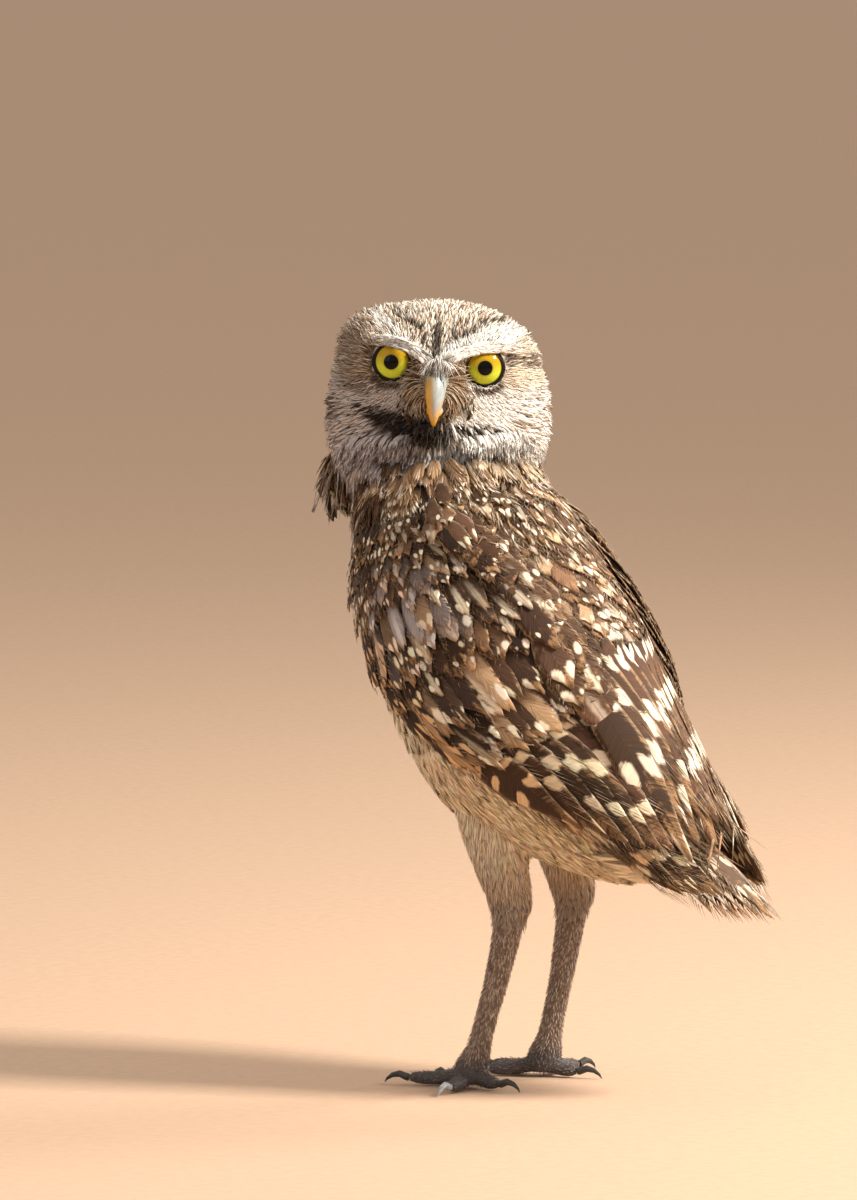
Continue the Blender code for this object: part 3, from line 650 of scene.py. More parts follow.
def tail_axes():
    drop = math.radians(TAIL_DROP)
    along = np.array([0.0, math.cos(drop), -math.sin(drop)])
    up = np.array([0.0, math.sin(drop), math.cos(drop)])
    return along, up


def tail_core():
    along, up = tail_axes()
    rings = []
    for step, half, high, droop in TAIL_CORE:
        middle = TAIL_ROOT + along * step - up * droop
        rings.append([middle + np.array([half * math.sin(t), 0, 0]) + up * high * math.cos(t)
                      for t in np.linspace(0, 2 * math.pi, 24, endpoint=False)])
    return rings_mesh("tail_core", rings)


def coat_depth(points):
    """How deep the skin lies under the coat's outer surface, in millimetres."""
    q = to_head(points)
    eyes = np.minimum(*[np.linalg.norm(q - [side * EYE_SPREAD, EYE_DEPTH - 4, EYE_HEIGHT], axis=1)
                        for side in (1, -1)])
    bill = np.hypot(q[:, 0], np.maximum(np.abs(q[:, 2]) - 4.0, 0.0)) + np.maximum(q[:, 1] + 18.0, 0.0)
    head = 0.4 + 2.0 * smooth(eyes, 6.5, 16.0) * smooth(bill, 4.0, 12.0)
    height = points[:, 2]
    body = 3.2 * smooth(height, 55.0, 92.0) + 0.7
    body = np.where(height < 50, 0.15 + 0.6 * smooth(height, 7.0, 16.0), body)
    share = smooth(height, 180.0, 190.0)
    return body * (1 - share) + head * share


def make_skin():
    shape = bmesh.new()
    for name in FLESH:
        if name.startswith(("wing", "tail")):
            continue
        part = bmesh.new()
        part.from_mesh(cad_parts[name].data)
        bmesh.ops.remove_doubles(part, verts=part.verts, dist=1e-6)
        part.normal_update()
        for vertex in part.verts:
            vertex.co += vertex.normal * GROWTH * MM
        copy = bpy.data.meshes.new("part")
        part.to_mesh(copy)
        part.free()
        shape.from_mesh(copy)
    for core in [wing_core(1), wing_core(-1), tail_core()]:
        shape.from_mesh(core.data)
        bpy.data.objects.remove(core)
    mesh = bpy.data.meshes.new("skin")
    shape.to_mesh(mesh)
    shape.free()
    skin = linked("skin", mesh)
    select_only(skin)
    shape_by(skin, "one_body", "REMESH", mode="VOXEL", voxel_size=VOXEL * MM)
    shape_by(skin, "even", "SMOOTH", factor=0.5, iterations=4)
    mesh = skin.data
    points = corners_of(mesh) / MM + ORIGIN
    points = points - normals_of(mesh) * (coat_depth(points) + GROWTH)[:, None]
    points[:, 2] = np.maximum(points[:, 2], LOWEST_SKIN)
    set_corners(mesh, points)
    mesh.update()
    shape_by(skin, "calm", "SMOOTH", factor=0.5, iterations=6)
    skin.data.shade_smooth()
    return skin


# A cell of a grid and all its neighbours
AROUND = list(itertools.product((-1, 0, 1), repeat=3))


def squared(d):
    return d[0] * d[0] + d[1] * d[1] + d[2] * d[2]


class Surface:
    """The skin as something to root feathers on, in millimetres."""

    def __init__(self, made):
        mesh = made.data
        mesh.calc_loop_triangles()
        self.points = corners_of(mesh) / MM + ORIGIN
        corners = np.empty(len(mesh.loop_triangles) * 3, np.int32)
        mesh.loop_triangles.foreach_get("vertices", corners)
        self.corners = corners.reshape(-1, 3)
        self.tree = BVHTree.FromPolygons(self.points.tolist(), self.corners.tolist())
        self.normals = normals_of(mesh)

    def snap(self, points):
        found, facing = np.empty((len(points), 3)), np.empty((len(points), 3))
        for i, point in enumerate(points):
            place, _, index, _ = self.tree.find_nearest(Vector(point))
            found[i] = place
            facing[i] = self.normals[self.corners[index]].mean(0)
        return found, unit(facing)

    def strewn(self, inside, spacing, rng, tries):
        """Points spread over the part of the skin that inside() takes, spacing() apart."""
        a, b, c = (self.points[self.corners[:, k]] for k in range(3))
        area = np.linalg.norm(np.cross(b - a, c - a), axis=1) * inside((a + b + c) / 3)
        pick = rng.choice(len(area), tries, p=area / area.sum())
        s, t = rng.random(tries), rng.random(tries)
        flip = s + t > 1
        s[flip], t[flip] = 1 - s[flip], 1 - t[flip]
        found = a[pick] + (b - a)[pick] * s[:, None] + (c - a)[pick] * t[:, None]
        gaps = spacing(found)
        cell = float(gaps.max())
        grid, kept = {}, []
        for i, key in enumerate(map(tuple, np.floor(found / cell).astype(int).tolist())):
            near = (j for x, y, z in AROUND for j in grid.get((key[0] + x, key[1] + y, key[2] + z), ()))
            if not any(squared(found[i] - found[j]) < gaps[i] * gaps[i] for j in near):
                grid.setdefault(key, []).append(i)
                kept.append(i)
        return found[kept]

    def walk(self, roots, lie, lengths, count=STATIONS, bend=0.0):
        """Each feather's middle line, laid along the skin from its root, with the outward directions.

        bend turns the line as it runs, in degrees from root to tip."""
        here, out = self.snap(roots)
        ahead = unit(lie - out * (lie * out).sum(1, keepdims=True))
        turn = np.radians(np.broadcast_to(bend, (len(roots),)))[:, None] / (count - 1)
        places, outs = [here], [out]
        for _ in range(count - 1):
            here, new = self.snap(here + ahead * (lengths / (count - 1))[:, None])
            ahead = unit(ahead - new * (ahead * new).sum(1, keepdims=True))
            ahead = unit(ahead * np.cos(turn) + np.cross(new, ahead) * np.sin(turn))
            out = unit(out * 0.35 + new * 0.65)
            places.append(here)
            outs.append(out)
        return np.stack(places, 1), np.stack(outs, 1)


# Feather shapes, in their own terms: u across in half widths, v along from root to tip, h thickness
def contour_width(b):
    return np.interp(b, [0, 0.15, 0.4, 0.7, 0.9, 1.0], [0.28, 0.55, 0.88, 1.0, 0.86, 0.5])


def flight_width(b):
    return np.interp(b, [0, 0.1, 0.3, 0.6, 0.88, 1.0], [0.3, 0.6, 0.9, 1.0, 0.86, 0.38])


def lock_width(b):
    return np.interp(b, [0, 0.3, 0.7, 1.0], [0.2, 1.0, 0.75, 0.12])


def lens(columns, rows, width_at, round_tip=0.22, finger=0, middle=0.0, slim=1.0, fan=0.3, reach=1.0):
    """A closed thin vane: an upper and a lower face that share their rim."""
    verts, faces = [], []
    top, under = {}, {}
    for r in range(rows):
        b = r / (rows - 1)
        for c in range(columns):
            a = -1 + 2 * c / (columns - 1)
            v = b * (1 - round_tip * a * a * b) * reach
            spread = middle * (fan + (1 - fan) * b)
            u = a * float(width_at(b)) * slim + spread
            across = a * slim + middle
            rim = r in (0, rows - 1) or c in (0, columns - 1)
            top[r, c] = len(verts)
            verts.append((u, v, 0.0 if rim else 0.5, across, finger, 1.0 if rim and r else 0.0))
            if rim:
                under[r, c] = top[r, c]
            else:
                under[r, c] = len(verts)
                verts.append((u, v, -0.5, across, finger, 0.0))
    for r in range(rows - 1):
        for c in range(columns - 1):
            faces.append((top[r, c], top[r, c + 1], top[r + 1, c + 1], top[r + 1, c]))
            faces.append((under[r, c], under[r + 1, c], under[r + 1, c + 1], under[r, c + 1]))
    return verts, faces


def barb(a, b, width_at, length, half, finger):
    """A closed needle that leaves the vane's edge and leans towards its tip."""
    w = float(width_at(b))
    u0, u1 = a * w * 0.8, a * w * (1.0 + length * 0.8)
    v1 = b + length * 0.55
    base = [(u0, b - half, -0.2), (u0, b + half, -0.2), (u0, b, 0.9), (u1, v1, -0.4)]
    verts = [(u, v, h, np.clip(u / max(w, 0.2), -1, 1), finger, 0.0) for u, v, h in base]
    faces = [(0, 1, 3), (1, 2, 3), (2, 0, 3), (0, 2, 1)]
    return verts, faces if a > 0 else [face[::-1] for face in faces]


def gathered(*parts):
    """One template from several: arrays of vertices, and its faces as loops and sizes."""
    verts, faces = [], []
    for part_verts, part_faces in parts:
        start = len(verts)
        verts += part_verts
        faces += [tuple(i + start for i in face) for face in part_faces]
    verts = np.array(verts, float)
    loops = np.array([i for face in faces for i in face])
    sizes = np.array([len(face) for face in faces])
    return verts, loops, sizes


# Side of a feather's patch in the unwrap
PATCH = 0.003


def plume(fingers, columns=3, rows=4, slim=0.42, reach=0.18):
    """A soft feather whose end has parted into a fan of locks."""
    parts = []
    for i in range(fingers):
        middle = -1 + 2 * (i + 0.5) / fingers
        parts.append(lens(columns, rows, lock_width, 0.1, i, middle * (1 - slim * 0.5), slim, 0.45,
                          1.0 - reach * middle * middle))
    return gathered(*parts)


def vaned(columns, rows, width_at, barbs, length, half, round_tip=0.22):
    """A firm feather with barbs fraying from its edges and tip."""
    parts = [lens(columns, rows, width_at, round_tip)]
    for i in range(barbs):
        b = 0.35 + 0.6 * (i + 0.5) / barbs
        for a in (-1, 1):
            parts.append(barb(a, b, width_at, length, half, 1 + (i % 4)))
    return gathered(*parts)


def marked(count, spots=0.0, bars=0.0, edge=0.0, streak=0.0):
    """How much of each marking every feather carries."""
    marks = (spots, bars, edge, streak)
    return np.stack([np.broadcast_to(np.asarray(mark, float), (count,)) for mark in marks], 1)


def grow(name, material, template, paths, outs, halves, colours, unwrap, rng, rise=(-0.3, 1.2), thick=0.16,
         camber=0.12, tilt=None, ragged=0.04, stray=0.06):
    """One mesh of feathers along their middle lines; returns its object.

    Half widths, colours and rises are given for each feather, or once for them all. colours holds
    ground, light and marks. stray varies the length of each lock."""
    verts, loops, sizes = template
    count, per = len(paths), len(verts)
    halves = np.broadcast_to(np.asarray(halves, float), (count,))
    u, v, h, across, finger, rim = verts.T
    fingers = int(finger.max()) + 1
    lengthen = 1 + rng.normal(0, stray, (count, fingers))[:, finger.astype(int)]
    sway = rng.normal(0, stray * 1.2, (count, fingers))[:, finger.astype(int)]
    v_all = v * lengthen + rng.normal(0, ragged, (count, per)) * rim
    u_all = u + sway * v * v + rng.normal(0, ragged, (count, per)) * rim
    last = paths.shape[1] - 1
    at = np.clip(v_all, 0, 1.25) * last
    cell = np.clip(at.astype(int), 0, last - 1)
    f = (at - cell)[..., None]
    who = np.arange(count)[:, None]
    place = paths[who, cell] * (1 - f) + paths[who, cell + 1] * f
    out = unit(outs[who, cell] * (1 - f) + outs[who, cell + 1] * np.clip(f, 0, 1))
    ahead = unit(paths[who, cell + 1] - paths[who, cell])
    side = unit(np.cross(ahead, out))
    reach = u_all * halves[:, None]
    low, high = (np.broadcast_to(np.asarray(r, float), (count,))[:, None] for r in rise)
    lift = low + (high - low) * np.clip(v_all, 0, 1.2) ** 0.9
    lift = lift + h * thick - camber * halves[:, None] * u_all * u_all
    if tilt is not None:
        lift = lift + reach * np.tan(tilt)[:, None]
    lift = lift + rng.normal(0, 0.12, (count, fingers))[:, finger.astype(int)] * v
    points = place + side * reach[..., None] + out * lift[..., None]
    points[..., 2] = np.maximum(points[..., 2], LOWEST_FEATHER)
    shift = (np.arange(count) * per)[:, None]
    mesh = mesh_from_arrays(name, placed(points).reshape(-1, 3), (loops[None] + shift).ravel(),
                            np.tile(sizes, count))
    seed = rng.random(count)
    vane = np.empty((count, per, 3))
    vane[..., 0], vane[..., 1], vane[..., 2] = across[None], v[None], seed[:, None]
    set_attribute(mesh, "vane", "FLOAT_VECTOR", vane)
    ground, light = (np.hstack([np.broadcast_to(c, (count, 3)), np.ones((count, 1))]) for c in colours[:2])
    for label, values in (("ground", ground), ("light", light), ("marks", colours[2])):
        set_attribute(mesh, label, "FLOAT_COLOR", np.repeat(values[:, None], per, 1))
    patch = np.empty((count, per, 2))
    patch[..., 0] = unwrap[:, None, 0] + np.clip(across, -1, 1)[None] * PATCH / 2
    patch[..., 1] = unwrap[:, None, 1] + (np.clip(v, 0, 1)[None] - 0.5) * PATCH
    corner = patch.reshape(-1, 2)[(loops[None] + shift).ravel()]
    layer = mesh.uv_layers.new(name="OFBake")
    layer.uv.foreach_set("vector", np.clip(corner, 0.001, 0.999).astype(np.float32).ravel())
    mesh.materials.append(material)
    return linked(name, mesh)


def unwrap_about(points, centre, axis, span):
    """An unwrap of a limb or body: its bearing about an axis, and its place along that axis."""
    axis = unit(np.asarray(axis, float))
    first = unit(np.cross(axis, [1.0, 0.0, 0.0]))
    second = np.cross(axis, first)
    d = points - centre
    bearing = np.arctan2(d @ second, d @ first) / (2 * math.pi) + 0.5
    return np.stack([0.01 + 0.98 * bearing, 0.01 + 0.98 * np.clip((d @ axis) / span + 0.5, 0, 1)], 1)


def unwrap_head(points):
    q = to_head(points)
    bearing = np.arctan2(q[:, 0], q[:, 1]) / (2 * math.pi) + 0.5
    height = np.arcsin(np.clip(unit(q)[:, 2], -1, 1)) / math.pi + 0.5
    return np.stack([0.01 + 0.98 * bearing, 0.01 + 0.98 * height], 1)


def unwrap_body(points):
    axis = unit(np.array([0.0, 70.0, -110.0]))
    return unwrap_about(points, np.array([0.0, 8.0, 122.0]), axis, 200.0)


# Markings of the head, as seen from in front: x towards the owl's left, z up, millimetres
def near_line(x, z, line, half, fade):
    """1 on a bent line across the face, fading over a distance beyond its half width."""
    line = np.asarray(line, float)
    best = np.full(len(x), 1e9)
    for (x0, z0), (x1, z1) in zip(line[:-1], line[1:]):
        d = np.array([x1 - x0, z1 - z0])
        t = np.clip(((x - x0) * d[0] + (z - z0) * d[1]) / (d @ d), 0, 1)
        best = np.minimum(best, np.hypot(x - x0 - t * d[0], z - z0 - t * d[1]))
    return smooth(best, half + fade, half)


def patch(x, z, centre, size, turn=0.0):
    """1 in the middle of an oval across the face, fading out at its edge."""
    c, s = math.cos(math.radians(turn)), math.sin(math.radians(turn))
    dx, dz = x - centre[0], z - centre[1]
    a, b = (dx * c + dz * s) / size[0], (-dx * s + dz * c) / size[1]
    return smooth(np.hypot(a, b), 1.2, 0.7)


# Heights of the markings are given for eyes whose middle is at this height
EYE_LINE = 5.4
BROW_LEFT = [(0.5, 5.2), (5.0, 9.6), (13.7, 13.6), (21.0, 14.6)]
BROW_RIGHT = [(-0.8, 5.4), (-5.5, 8.8), (-10.0, 11.4), (-18.0, 15.2)]
CHIN_BAND = [(-23.5, -9.6), (-15.0, -12.0), (-5.0, -15.5), (5.0, -14.6), (12.0, -13.6), (19.0, -14.6)]


def head_markings(q, rng):
    """Ground and mark colours over the head, from the head's own coordinates."""
    count = len(q)
    x, y, z = q.T
    z = z - EYE_HEIGHT + EYE_LINE
    front = smooth(y, 8.0, -8.0)
    roll = rng.random((count, 1))
    pick = rng.random((count, 1))
    darker = np.where(pick < 0.78, srgb(180, 152, 124), srgb(92, 70, 56))
    ground = np.where(pick < 0.5, srgb(236, 226, 212), darker)
    ground = ground * (0.85 + 0.3 * rng.random((count, 1)))
    light = CREAM * (0.85 + 0.2 * rng.random((count, 1)))
    pale_tip = 0.55 + 0.45 * rng.random(count)
    streak = (rng.random(count) < 0.6) * (0.6 + 0.4 * rng.random(count))

    def paint(mask, colour, edge, shaft):
        nonlocal ground, pale_tip, streak
        soft = np.clip(np.clip(mask, 0, 1) * (0.8 + 0.4 * roll[:, 0]), 0, 1)
        ground = ground * (1 - soft[:, None]) + colour * soft[:, None]
        pale_tip = pale_tip * (1 - soft) + edge * soft
        streak = streak * (1 - soft) + shaft * soft

    flecked = rng.random(count) < 0.72
    paint(smooth(z, -4.0, -12.0) * smooth(y, 0.0, 12.0) * 0.8, TAN * 0.8, 0.6, 0.5)
    paint(front * smooth(z, 2.5, -2.5) * smooth(x, 3.0, 8.0) * 1.2, WHITE, 0.1, 0.0)
    # Painted shade: the same pale lower face on the owl's right, the shaded side, in lilac-grey instead of
    # white
    paint(front * smooth(z, 1.5, -2.5) * smooth(x, -3.0, -9.0) * 0.9, LILAC_GREY, 0.5, 0.3)
    side = smooth(np.abs(x), 16.0, 24.0)
    # The white and cream on the owl's left cheek and temple are partly their own pale buff, partly painted
    # light, as they are put on the lit side only
    paint(side * smooth(z, 2.0, -2.0) * (x > 0) * smooth(z, -30.0, -20.0) * 1.2, WHITE * 0.98, 0.15, 0.0)
    paint(side * smooth(z, 14.0, 8.0) * smooth(z, -3.0, 1.0) * (x > 0) * front, CREAM * 0.94, 0.4, 0.3)
    paint(near_line(x, z, [(21.5, 8.2), (27.5, 6.0)], 1.1, 1.2) * front * flecked, GREY_BROWN * 0.7, 0.3, 0.1)
    paint(patch(x, z, (-24.0, 6.5), (5.5, 9.5)) * front * (0.5 + 0.5 * flecked), srgb(138, 110, 86), 0.5, 0.3)
    # This grey-brown cheek patch on the owl's right is partly its own mottling, partly painted shade of the
    # shaded side
    paint(patch(x, z, (-21.0, -2.0), (7.0, 3.2), 12) * front * flecked, GREY_BROWN, 0.5, 0.3)
    paint(patch(x, z, (0.0, -4.0), (9.0, 8.0)) * front, srgb(156, 132, 104), 0.7, 0.6)
    paint(near_line(x, z, [(-0.6, 6.0), (-1.2, 15.0)], 1.0, 0.8) * front, DARK_UMBER * 1.2, 0.1, 0.1)
    for line in ([(-1.6, 7.0), (-5.5, 13.0)], [(1.2, 8.5), (3.6, 14.5)], [(-3.5, 6.5), (-9.0, 8.8)],
                 [(-6.0, 15.5), (-15.0, 18.5)], [(5.0, 13.2), (12.0, 17.2)], [(12.0, 17.2), (21.0, 17.6)]):
        paint(near_line(x, z, line, 0.45, 0.75) * front * flecked, DARK_UMBER * 1.5, 0.1, 0.1)
    paint(near_line(x, z, BROW_LEFT, 1.9, 1.5) * front * (0.55 + 0.45 * flecked), WHITE, 0.1, 0.0)
    paint(near_line(x, z, BROW_RIGHT, 1.15, 1.1) * front * flecked, WHITE * 0.95, 0.3, 0.1)
    lashes = [(12.0, -1.8), (16.0, -2.4), (19.5, -0.5)]
    paint(near_line(x, z, lashes, 0.5, 1.0) * front, UMBER, 0.2, 0.1)
    paint(near_line(-x, z, lashes, 0.5, 1.0) * front, UMBER, 0.2, 0.1)
    paint(near_line(x, z, CHIN_BAND, 0.9, 1.5) * front * flecked, DARK_UMBER * 0.8, 0.05, 0.0)
    paint(patch(x, z, (-7.6, -14.6), (13.5, 5.0), -15) * front, DARK_UMBER * 0.7, 0.03, 0.0)
    paint(patch(x, z, (0.0, 4.4), (3.6, 2.4)) * front, srgb(206, 202, 198), 0.2, 0.1)
    paint(patch(x, z, (-18.0, -11.0), (5.5, 2.4), -22) * front * flecked, DARK_UMBER * 0.8, 0.05, 0.0)
    ahead = smooth(y, 14.0, 4.0)
    paint(smooth(z, -16.5, -19.0) * smooth(x, 4.0, 8.0) * ahead * 1.2, WHITE, 0.1, 0.0)
    paint(smooth(z, -19.5, -22.0) * smooth(x, -5.0, 0.0) * ahead * 1.2, WHITE, 0.1, 0.0)
    # Painted shade: the white collar in lilac-grey on the owl's right, the shaded side
    paint(smooth(z, -19.5, -22.5) * smooth(x, 0.0, -6.0) * ahead * 1.1, LILAC_GREY * 1.15, 0.4, 0.1)
    paint(patch(x, z, (-30.5, -10.5), (2.4, 3.6)) * flecked, UMBER * 1.1, 0.2, 0.1)
    paint(patch(x, z, (28.0, -10.5), (5.0, 7.0)) * (rng.random(count) < 0.12), TAN * 0.8, 0.3, 0.2)
    return ground, light, marked(count, edge=pale_tip, streak=streak)


BILL_POINT = np.array([0.0, -27.0, 1.5])


def head_lie(q):
    """Which way the head's feathers lie: away from the bill, round the eyes, and down at the nape."""
    away = unit(q - BILL_POINT)
    lie = away.copy()
    for side in (1, -1):
        eye = q - eye_seat(side)
        distance = np.linalg.norm(eye, axis=1, keepdims=True)
        lie += unit(eye) * 1.6 * np.exp(-(((distance - 6.0) / 6.0) ** 2))
    down = smooth(q[:, 1], -6.0, 16.0)[:, None] * smooth(q[:, 2], 26.0, 8.0)[:, None]
    lie = lie * (1 - 0.75 * down) + np.array([0.0, 0.25, -1.0]) * down
    throat = (smooth(q[:, 2], -14.0, -22.0) * 0.7)[:, None]
    lie = lie * (1 - throat) + np.array([0.0, 0.0, -1.0]) * throat
    return lie


def fullness(q):
    """How much further the feathers stand out over the temples and the cheeks."""
    x, y, z = q.T
    sides = smooth(y, -26.0, -16.0) * smooth(y, 14.0, 2.0)
    right_temple = np.exp(-(((x + 24.0) / 9.0) ** 2) - ((z - 14.0) / 10.0) ** 2)
    left_temple = np.exp(-(((x - 24.0) / 8.0) ** 2) - ((z - 13.0) / 8.0) ** 2)
    cheeks = smooth(np.abs(x), 17.0, 27.0) * smooth(z, 8.0, 0.0) * smooth(y, 18.0, 4.0)
    return (4.2 * right_temple + 1.6 * left_temple) * sides + 1.5 * cheeks


BROW_FEATHERS = 420


def brow_feathers(rng, material):
    """The ledge of feathers that overhangs the top of each eye."""
    starts, middles, ends, facings = [], [], [], []
    for side in (1, -1):
        a, b, c = (np.array([side * x, y, EYE_HEIGHT + z]) for x, y, z in
                   ((3.4, -26.2, -0.6), (8.5, -26.2, 5.8), (22.0, -17.4, 4.6)))
        for _ in range(BROW_FEATHERS):
            t = rng.uniform(0.0, 0.96)
            here = (1 - t) ** 2 * a + 2 * t * (1 - t) * b + t * t * c
            ahead = unit(2 * (1 - t) * (b - a) + 2 * t * (c - b))
            above = unit(np.cross(ahead, np.cross([0.0, 0.0, 1.0], ahead)))
            high = rng.random() ** 1.3
            start = here + above * (0.1 + 3.4 * high) + np.array([0.0, 1.0 + 0.6 * high, 0.0])
            length = rng.uniform(3.2, 5.0)
            end = start + ahead * length - above * (0.35 + 0.5 * high)
            outward = unit(np.cross(ahead, above)) * side
            if outward[1] > 0:
                outward = -outward
            starts.append(start)
            ends.append(end + outward * 0.5)
            middles.append((start + end) / 2 + outward * 0.7)
            facings.append(outward)
    starts, middles, ends = in_head(starts), in_head(middles), in_head(ends)
    facing = np.array(facings) @ HEAD_FRAME.T
    paths, outs = bowed(starts, middles, ends, (facing, facing), 4)
    count = len(paths)
    colours = head_markings(to_head(starts), rng)
    return grow("brow_feathers", material, gathered(lens(3, 4, contour_width, 0.3)), paths, outs,
                rng.uniform(0.3, 0.5, count), colours, unwrap_head(starts), rng, rise=(-0.3, 0.5), thick=0.16,
                ragged=0.14, stray=0.12)


# Feathers grow on the head above this height, and no nearer than this to an eye's centre
HEAD_BASE = 184.0
EYE_CLEARANCE = 7.6


def coat_head(surface, rng, material):
    eyes = [in_head([eye_seat(side)])[0] for side in (1, -1)]

    def inside(p):
        q = to_head(p)
        clear = np.minimum(*[np.linalg.norm(p - eye, axis=1) for eye in eyes]) > EYE_CLEARANCE
        bill = np.hypot(q[:, 0], np.maximum(np.abs(q[:, 2] + 3.0) - 5.0, 0.0)) > 2.4
        return (p[:, 2] > HEAD_BASE) & clear & (bill | (q[:, 1] > -18.0))

    def face_share(p):
        q = to_head(p)
        distance = np.minimum(*[np.linalg.norm(p - eye, axis=1) for eye in eyes])
        centre = np.linalg.norm(q - [0.0, -25.0, 0.0], axis=1)
        return smooth(np.minimum(distance - 3.0, centre), 4.0, 20.0)

    def part_of_head(name, share_low, share_high, gap_near, gap_far, tries, template):
        def region(p):
            share = face_share(p)
            return inside(p) & (share >= share_low) & (share < share_high)

        roots = surface.strewn(region, lambda p: gap_near + (gap_far - gap_near) * face_share(p), rng, tries)
        q = to_head(roots)
        share = face_share(roots)
        lie = head_lie(q) @ HEAD_FRAME.T
        lie = lie + rng.normal(0, 0.12, lie.shape)
        lengths = (1.7 + 3.1 * share + 0.9 * fullness(q)) * rng.uniform(0.8, 1.25, len(roots))
        halves = (0.26 + 0.27 * share) * rng.uniform(0.8, 1.2, len(roots))
        paths, outs = surface.walk(roots, lie, lengths, 4, rng.normal(0, 14.0, len(roots)))
        tips = 0.3 + (0.66 * coat_depth(roots) + fullness(q)) * rng.uniform(0.85, 1.1, len(roots))
        colours = head_markings(to_head(paths[:, 2]), rng)
        return grow(name, material, template, paths, outs, halves, colours, unwrap_head(roots), rng,
                    rise=(0.38 * tips - 0.3, tips), thick=0.14, ragged=0.14, stray=0.12)

    leaf = gathered(lens(3, 4, contour_width, 0.3))
    return [part_of_head("face_coat", 0.0, 0.72, 0.46, 0.62, 60000, leaf),
            part_of_head("crown_coat", 0.72, 1.1, 0.6, 0.84, 90000, leaf)]


# Tan and cream bands over the nape, and a dark band that is a painted shadow: middle angle, half width in
# degrees, colour, share of feathers
NAPE_ZONES = (
    (70.0, 17.0, srgb(178, 144, 108), 0.8),
    (30.0, 12.0, srgb(226, 202, 170), 0.8),
    (-14.0, 26.0, srgb(206, 180, 148), 0.6),
    # A painted shadow: a dark stripe in the gap between the tan patch and the breast tuft
    (50.0, 5.0, DARK_UMBER, 0.8),
)


def coat_neck(rng, downy, soft):
    """The feathers under the head: brown and spotted behind, greyish and softer in front."""
    made = []
    ring, angle = body_rows((-0.9, 1.0), 0.14, lambda ring: (-140.0, 150.0), 3.3, rng, 0.6)
    count = len(ring)
    lengths = (8.0 + 5.0 * smooth(ring, -1.0, 0.0)) * rng.uniform(0.75, 1.25, count)
    paths, outs = torso_paths(ring, angle, lengths, rng.normal(0, 8.0, count),
                              lambda ring, angle: -0.4)
    ground = brown_mix(count, rng)
    for middle, half, colour, share in NAPE_ZONES:
        taken = np.exp(-(((angle - middle) / half) ** 2)) * smooth(ring, 0.9, -0.5)
        taken = taken * (rng.random(count) < share)
        taken = (taken * rng.uniform(0.5, 1.0, count))[:, None]
        ground = ground * (1 - taken) + colour * taken
    made.append(grow("nape", downy, plume(7, 3, 5, 0.3, 0.3), paths, outs, rng.uniform(2.0, 3.2, count),
                     (ground, tone(CREAM, count, rng, 0.06), spotted(count, rng, 0.55, 0.7, 1.1)),
                     unwrap_body(paths[:, 0]), rng, rise=(-2.4, 1.0), thick=0.2, ragged=0.04, stray=0.12))
    ring, angle = body_rows((-0.9, 0.2), 0.15, lambda ring: (144.0, 226.0), 2.9, rng)
    count = len(ring)
    paths, outs = torso_paths(ring, angle, rng.uniform(8.0, 12.0, count), rng.normal(0, 7.0, count),
                              lambda ring, angle: -1.0)
    ground = tone(LILAC_GREY, count, rng, 0.12)
    ground = np.where(rng.random((count, 1)) < 0.18, GREY_BROWN, ground)
    marks = marked(count, (rng.random(count) < 0.4) * rng.uniform(0.4, 0.7, count),
                   streak=(rng.random(count) < 0.2) * 0.5)
    made.append(grow("throat_coat", soft, plume(4), paths, outs, rng.uniform(1.9, 2.7, count),
                     (ground, UMBER * 1.4, marks), unwrap_body(paths[:, 0]), rng, rise=(-1.0, 2.0),
                     thick=0.25, stray=0.14))
    return made


SIDE_BRISTLES = 150
FORE_BRISTLES = 240


